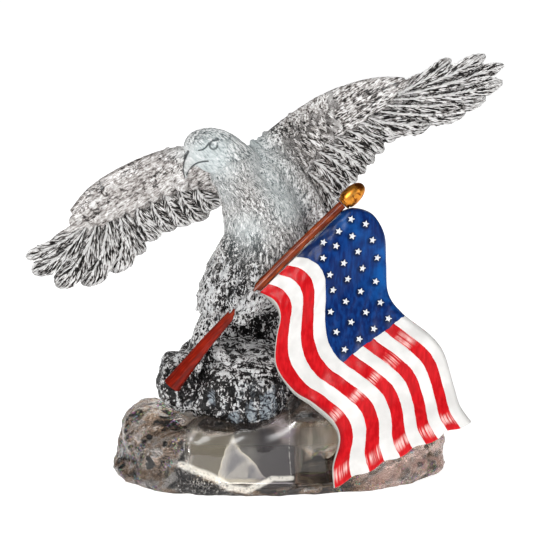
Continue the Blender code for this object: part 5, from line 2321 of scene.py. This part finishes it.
def light_housing():
    """Walls glowing grey as painted light, and the lamp's patch drawn as seen through the window.
    """
    material, shader, here = new_material(
        "light_housing", Emission_Strength=1.0, Specular_IOR_Level=0.1
    )
    x, y, z = in_figure(here)
    seen = z + (y - (LIGHT_UNIT_CENTRE[1] - LIGHT_UNIT_DEPTH * MM / 2)) * SIGHT_SLOPE
    grain = speckle(stretched(here, (1, 1, 6)), 900, 4)
    broad = speckle(here, 110, 3)
    swirl = speckle(stretched(here, (1, 1, 2.5), (0, 0.3, 0)), 130, 3, Distortion=1.2)

    wall = mix(x.within(-17, -12), *WALLS)
    wall = mix(broad.within(0.4, 0.65) * 0.4, wall, WALL_CLOUDS)
    wall = mix(grain.within(0.5, 0.8) * 0.15, wall, WALL_GRAIN)
    wavy = (swirl - 0.5) * 7 + (broad - 0.5) * 3
    left = x + wavy + 20.2 + (seen - 12).most(0) * -0.5
    right = 1.5 - x - wavy - seen.within(1, 19) * 9.0
    roof = 20.5 - abs(x + 13.6) * 0.9 - seen + wavy * 0.4
    edge = left.least(right).least(roof)
    glow = edge.within(0.0, 0.6)
    rim = glow * (1 - edge.within(0.5, 1.7))
    bright = mix(swirl.within(0.42, 0.60), *LAMP_SWIRL)
    bright = mix((edge * -1).within(-4, -1) * 0.8, bright, LAMP_MIDDLE)
    bright = mix(rim, bright, LAMP_RIM)
    slope = seen - 1.8 + (x + 12).least(0.0) * 0.16 + wavy * 0.4
    foot = (1 - abs(slope).within(0.6, 1.8)) * (1 - x.within(2, 6))
    # The walls glow faintly as painted light, beside the lamp's own glow.
    shown = mix(glow, wall, bright)
    shown = mix(foot * 0.85, shown, LAMP_FOOT)
    feed(shader, Base_Color=mix(glow, *PLASTIC), Roughness=0.35 + grain * 0.2)
    feed(shader, Emission_Color=shown)
    return material


base.data.shade_smooth()
write(base.data, "stands_out", np.clip(hollow(base.data) * MM / 0.15, -1.5, 1.5))
dress(base, clear_rock(), "clear_rock", "rock_base")
dress(light, light_housing(), "light_housing", "light_unit")

# %% [markdown]
# ## Stage, light and camera
#
# The photo was taken on white paper that rises behind the figure, so the floor is one large
# pale sheet that also glows a little. A clear casting shows what is round it: the pale floor
# gives its bright glints, and a dimmer sky keeps the grooves dark. One soft key light comes
# from the upper left, with a weaker fill and a rim light behind.

# %% Set the stage
FLOOR_REACH = 9
FLOOR_DEPTH = 0.02
FLOOR_GAP = 0.0002
PAPER_GLOW = 0.86
SKY_STRENGTH = 0.18


def aimed(thing, place, view):
    """Puts a lamp or a camera in its place, looking in a direction."""
    thing.location = place
    thing.rotation_euler = view.to_track_quat("-Z", "Y").to_euler()


def area(name, place, aim, size, power):
    """A soft rectangular lamp, turned towards a point."""
    lamp = bpy.data.lights.new(name, "AREA")
    lamp.shape = "RECTANGLE"
    lamp.size, lamp.size_y = size
    lamp.energy = power
    aimed(add_object(name, lamp), place, Vector(aim) - Vector(place))


def floor_paper():
    """White paper that glows a little, as an evenly lit backdrop does."""
    material, shader, here = new_material(
        "floor_paper", Roughness=0.9, Emission_Color=(1, 1, 1, 1), Emission_Strength=PAPER_GLOW
    )
    paper = speckle(here, 300, 3)
    feed(shader, Base_Color=mix(paper, (0.80, 0.80, 0.80), (0.84, 0.84, 0.84)))
    return material


floor = block("floor", FLOOR_REACH, -FLOOR_DEPTH, -FLOOR_GAP)
floor.data.materials.append(floor_paper())

world = bpy.data.worlds.new("studio")
bpy.context.scene.world = world
world.use_nodes = True
sky = world.node_tree.nodes["Background"]
sky.inputs["Color"].default_value = (1, 1, 1, 1)
sky.inputs["Strength"].default_value = SKY_STRENGTH

middle = (0, 0, 0.1)
area("key", (-0.45, -0.75, 0.7), middle, (0.3, 0.3), 6.5)
area("fill", (0.7, -0.7, 0.45), middle, (0.3, 0.5), 1.8)
area("rim", (0.2, 0.8, 0.8), middle, (0.8, 0.3), 3)
bpy.context.scene.view_settings.view_transform = "Standard"

# %% [markdown]
# The camera stands a metre away and 12 degrees above level. At that angle the outline of the
# solids falls on the outline in the photo. The lens follows from the film's width and from how
# many of the picture's points a metre takes up at that distance.

# %% Set the camera
CAMERA_HEIGHT = math.radians(12)
CAMERA_DISTANCE = 1.0
CAMERA_AIM = Vector((0.0009, 0, 0.0964)) + SHIFT
FILM_WIDTH = 36
POINTS_IN_A_METRE = 2173.9
POINTS_IN_THE_PICTURE = 533
FIELD_SHARE = POINTS_IN_A_METRE / POINTS_IN_THE_PICTURE

camera = bpy.data.cameras.new("camera")
camera.sensor_width = FILM_WIDTH
camera.lens = FILM_WIDTH * FIELD_SHARE
away = Vector((0, -math.cos(CAMERA_HEIGHT), math.sin(CAMERA_HEIGHT)))
eye = add_object("camera", camera)
aimed(eye, CAMERA_AIM + away * CAMERA_DISTANCE, -away)
bpy.context.scene.camera = eye
print("lens:", round(camera.lens, 1), "mm at", CAMERA_DISTANCE, "m")
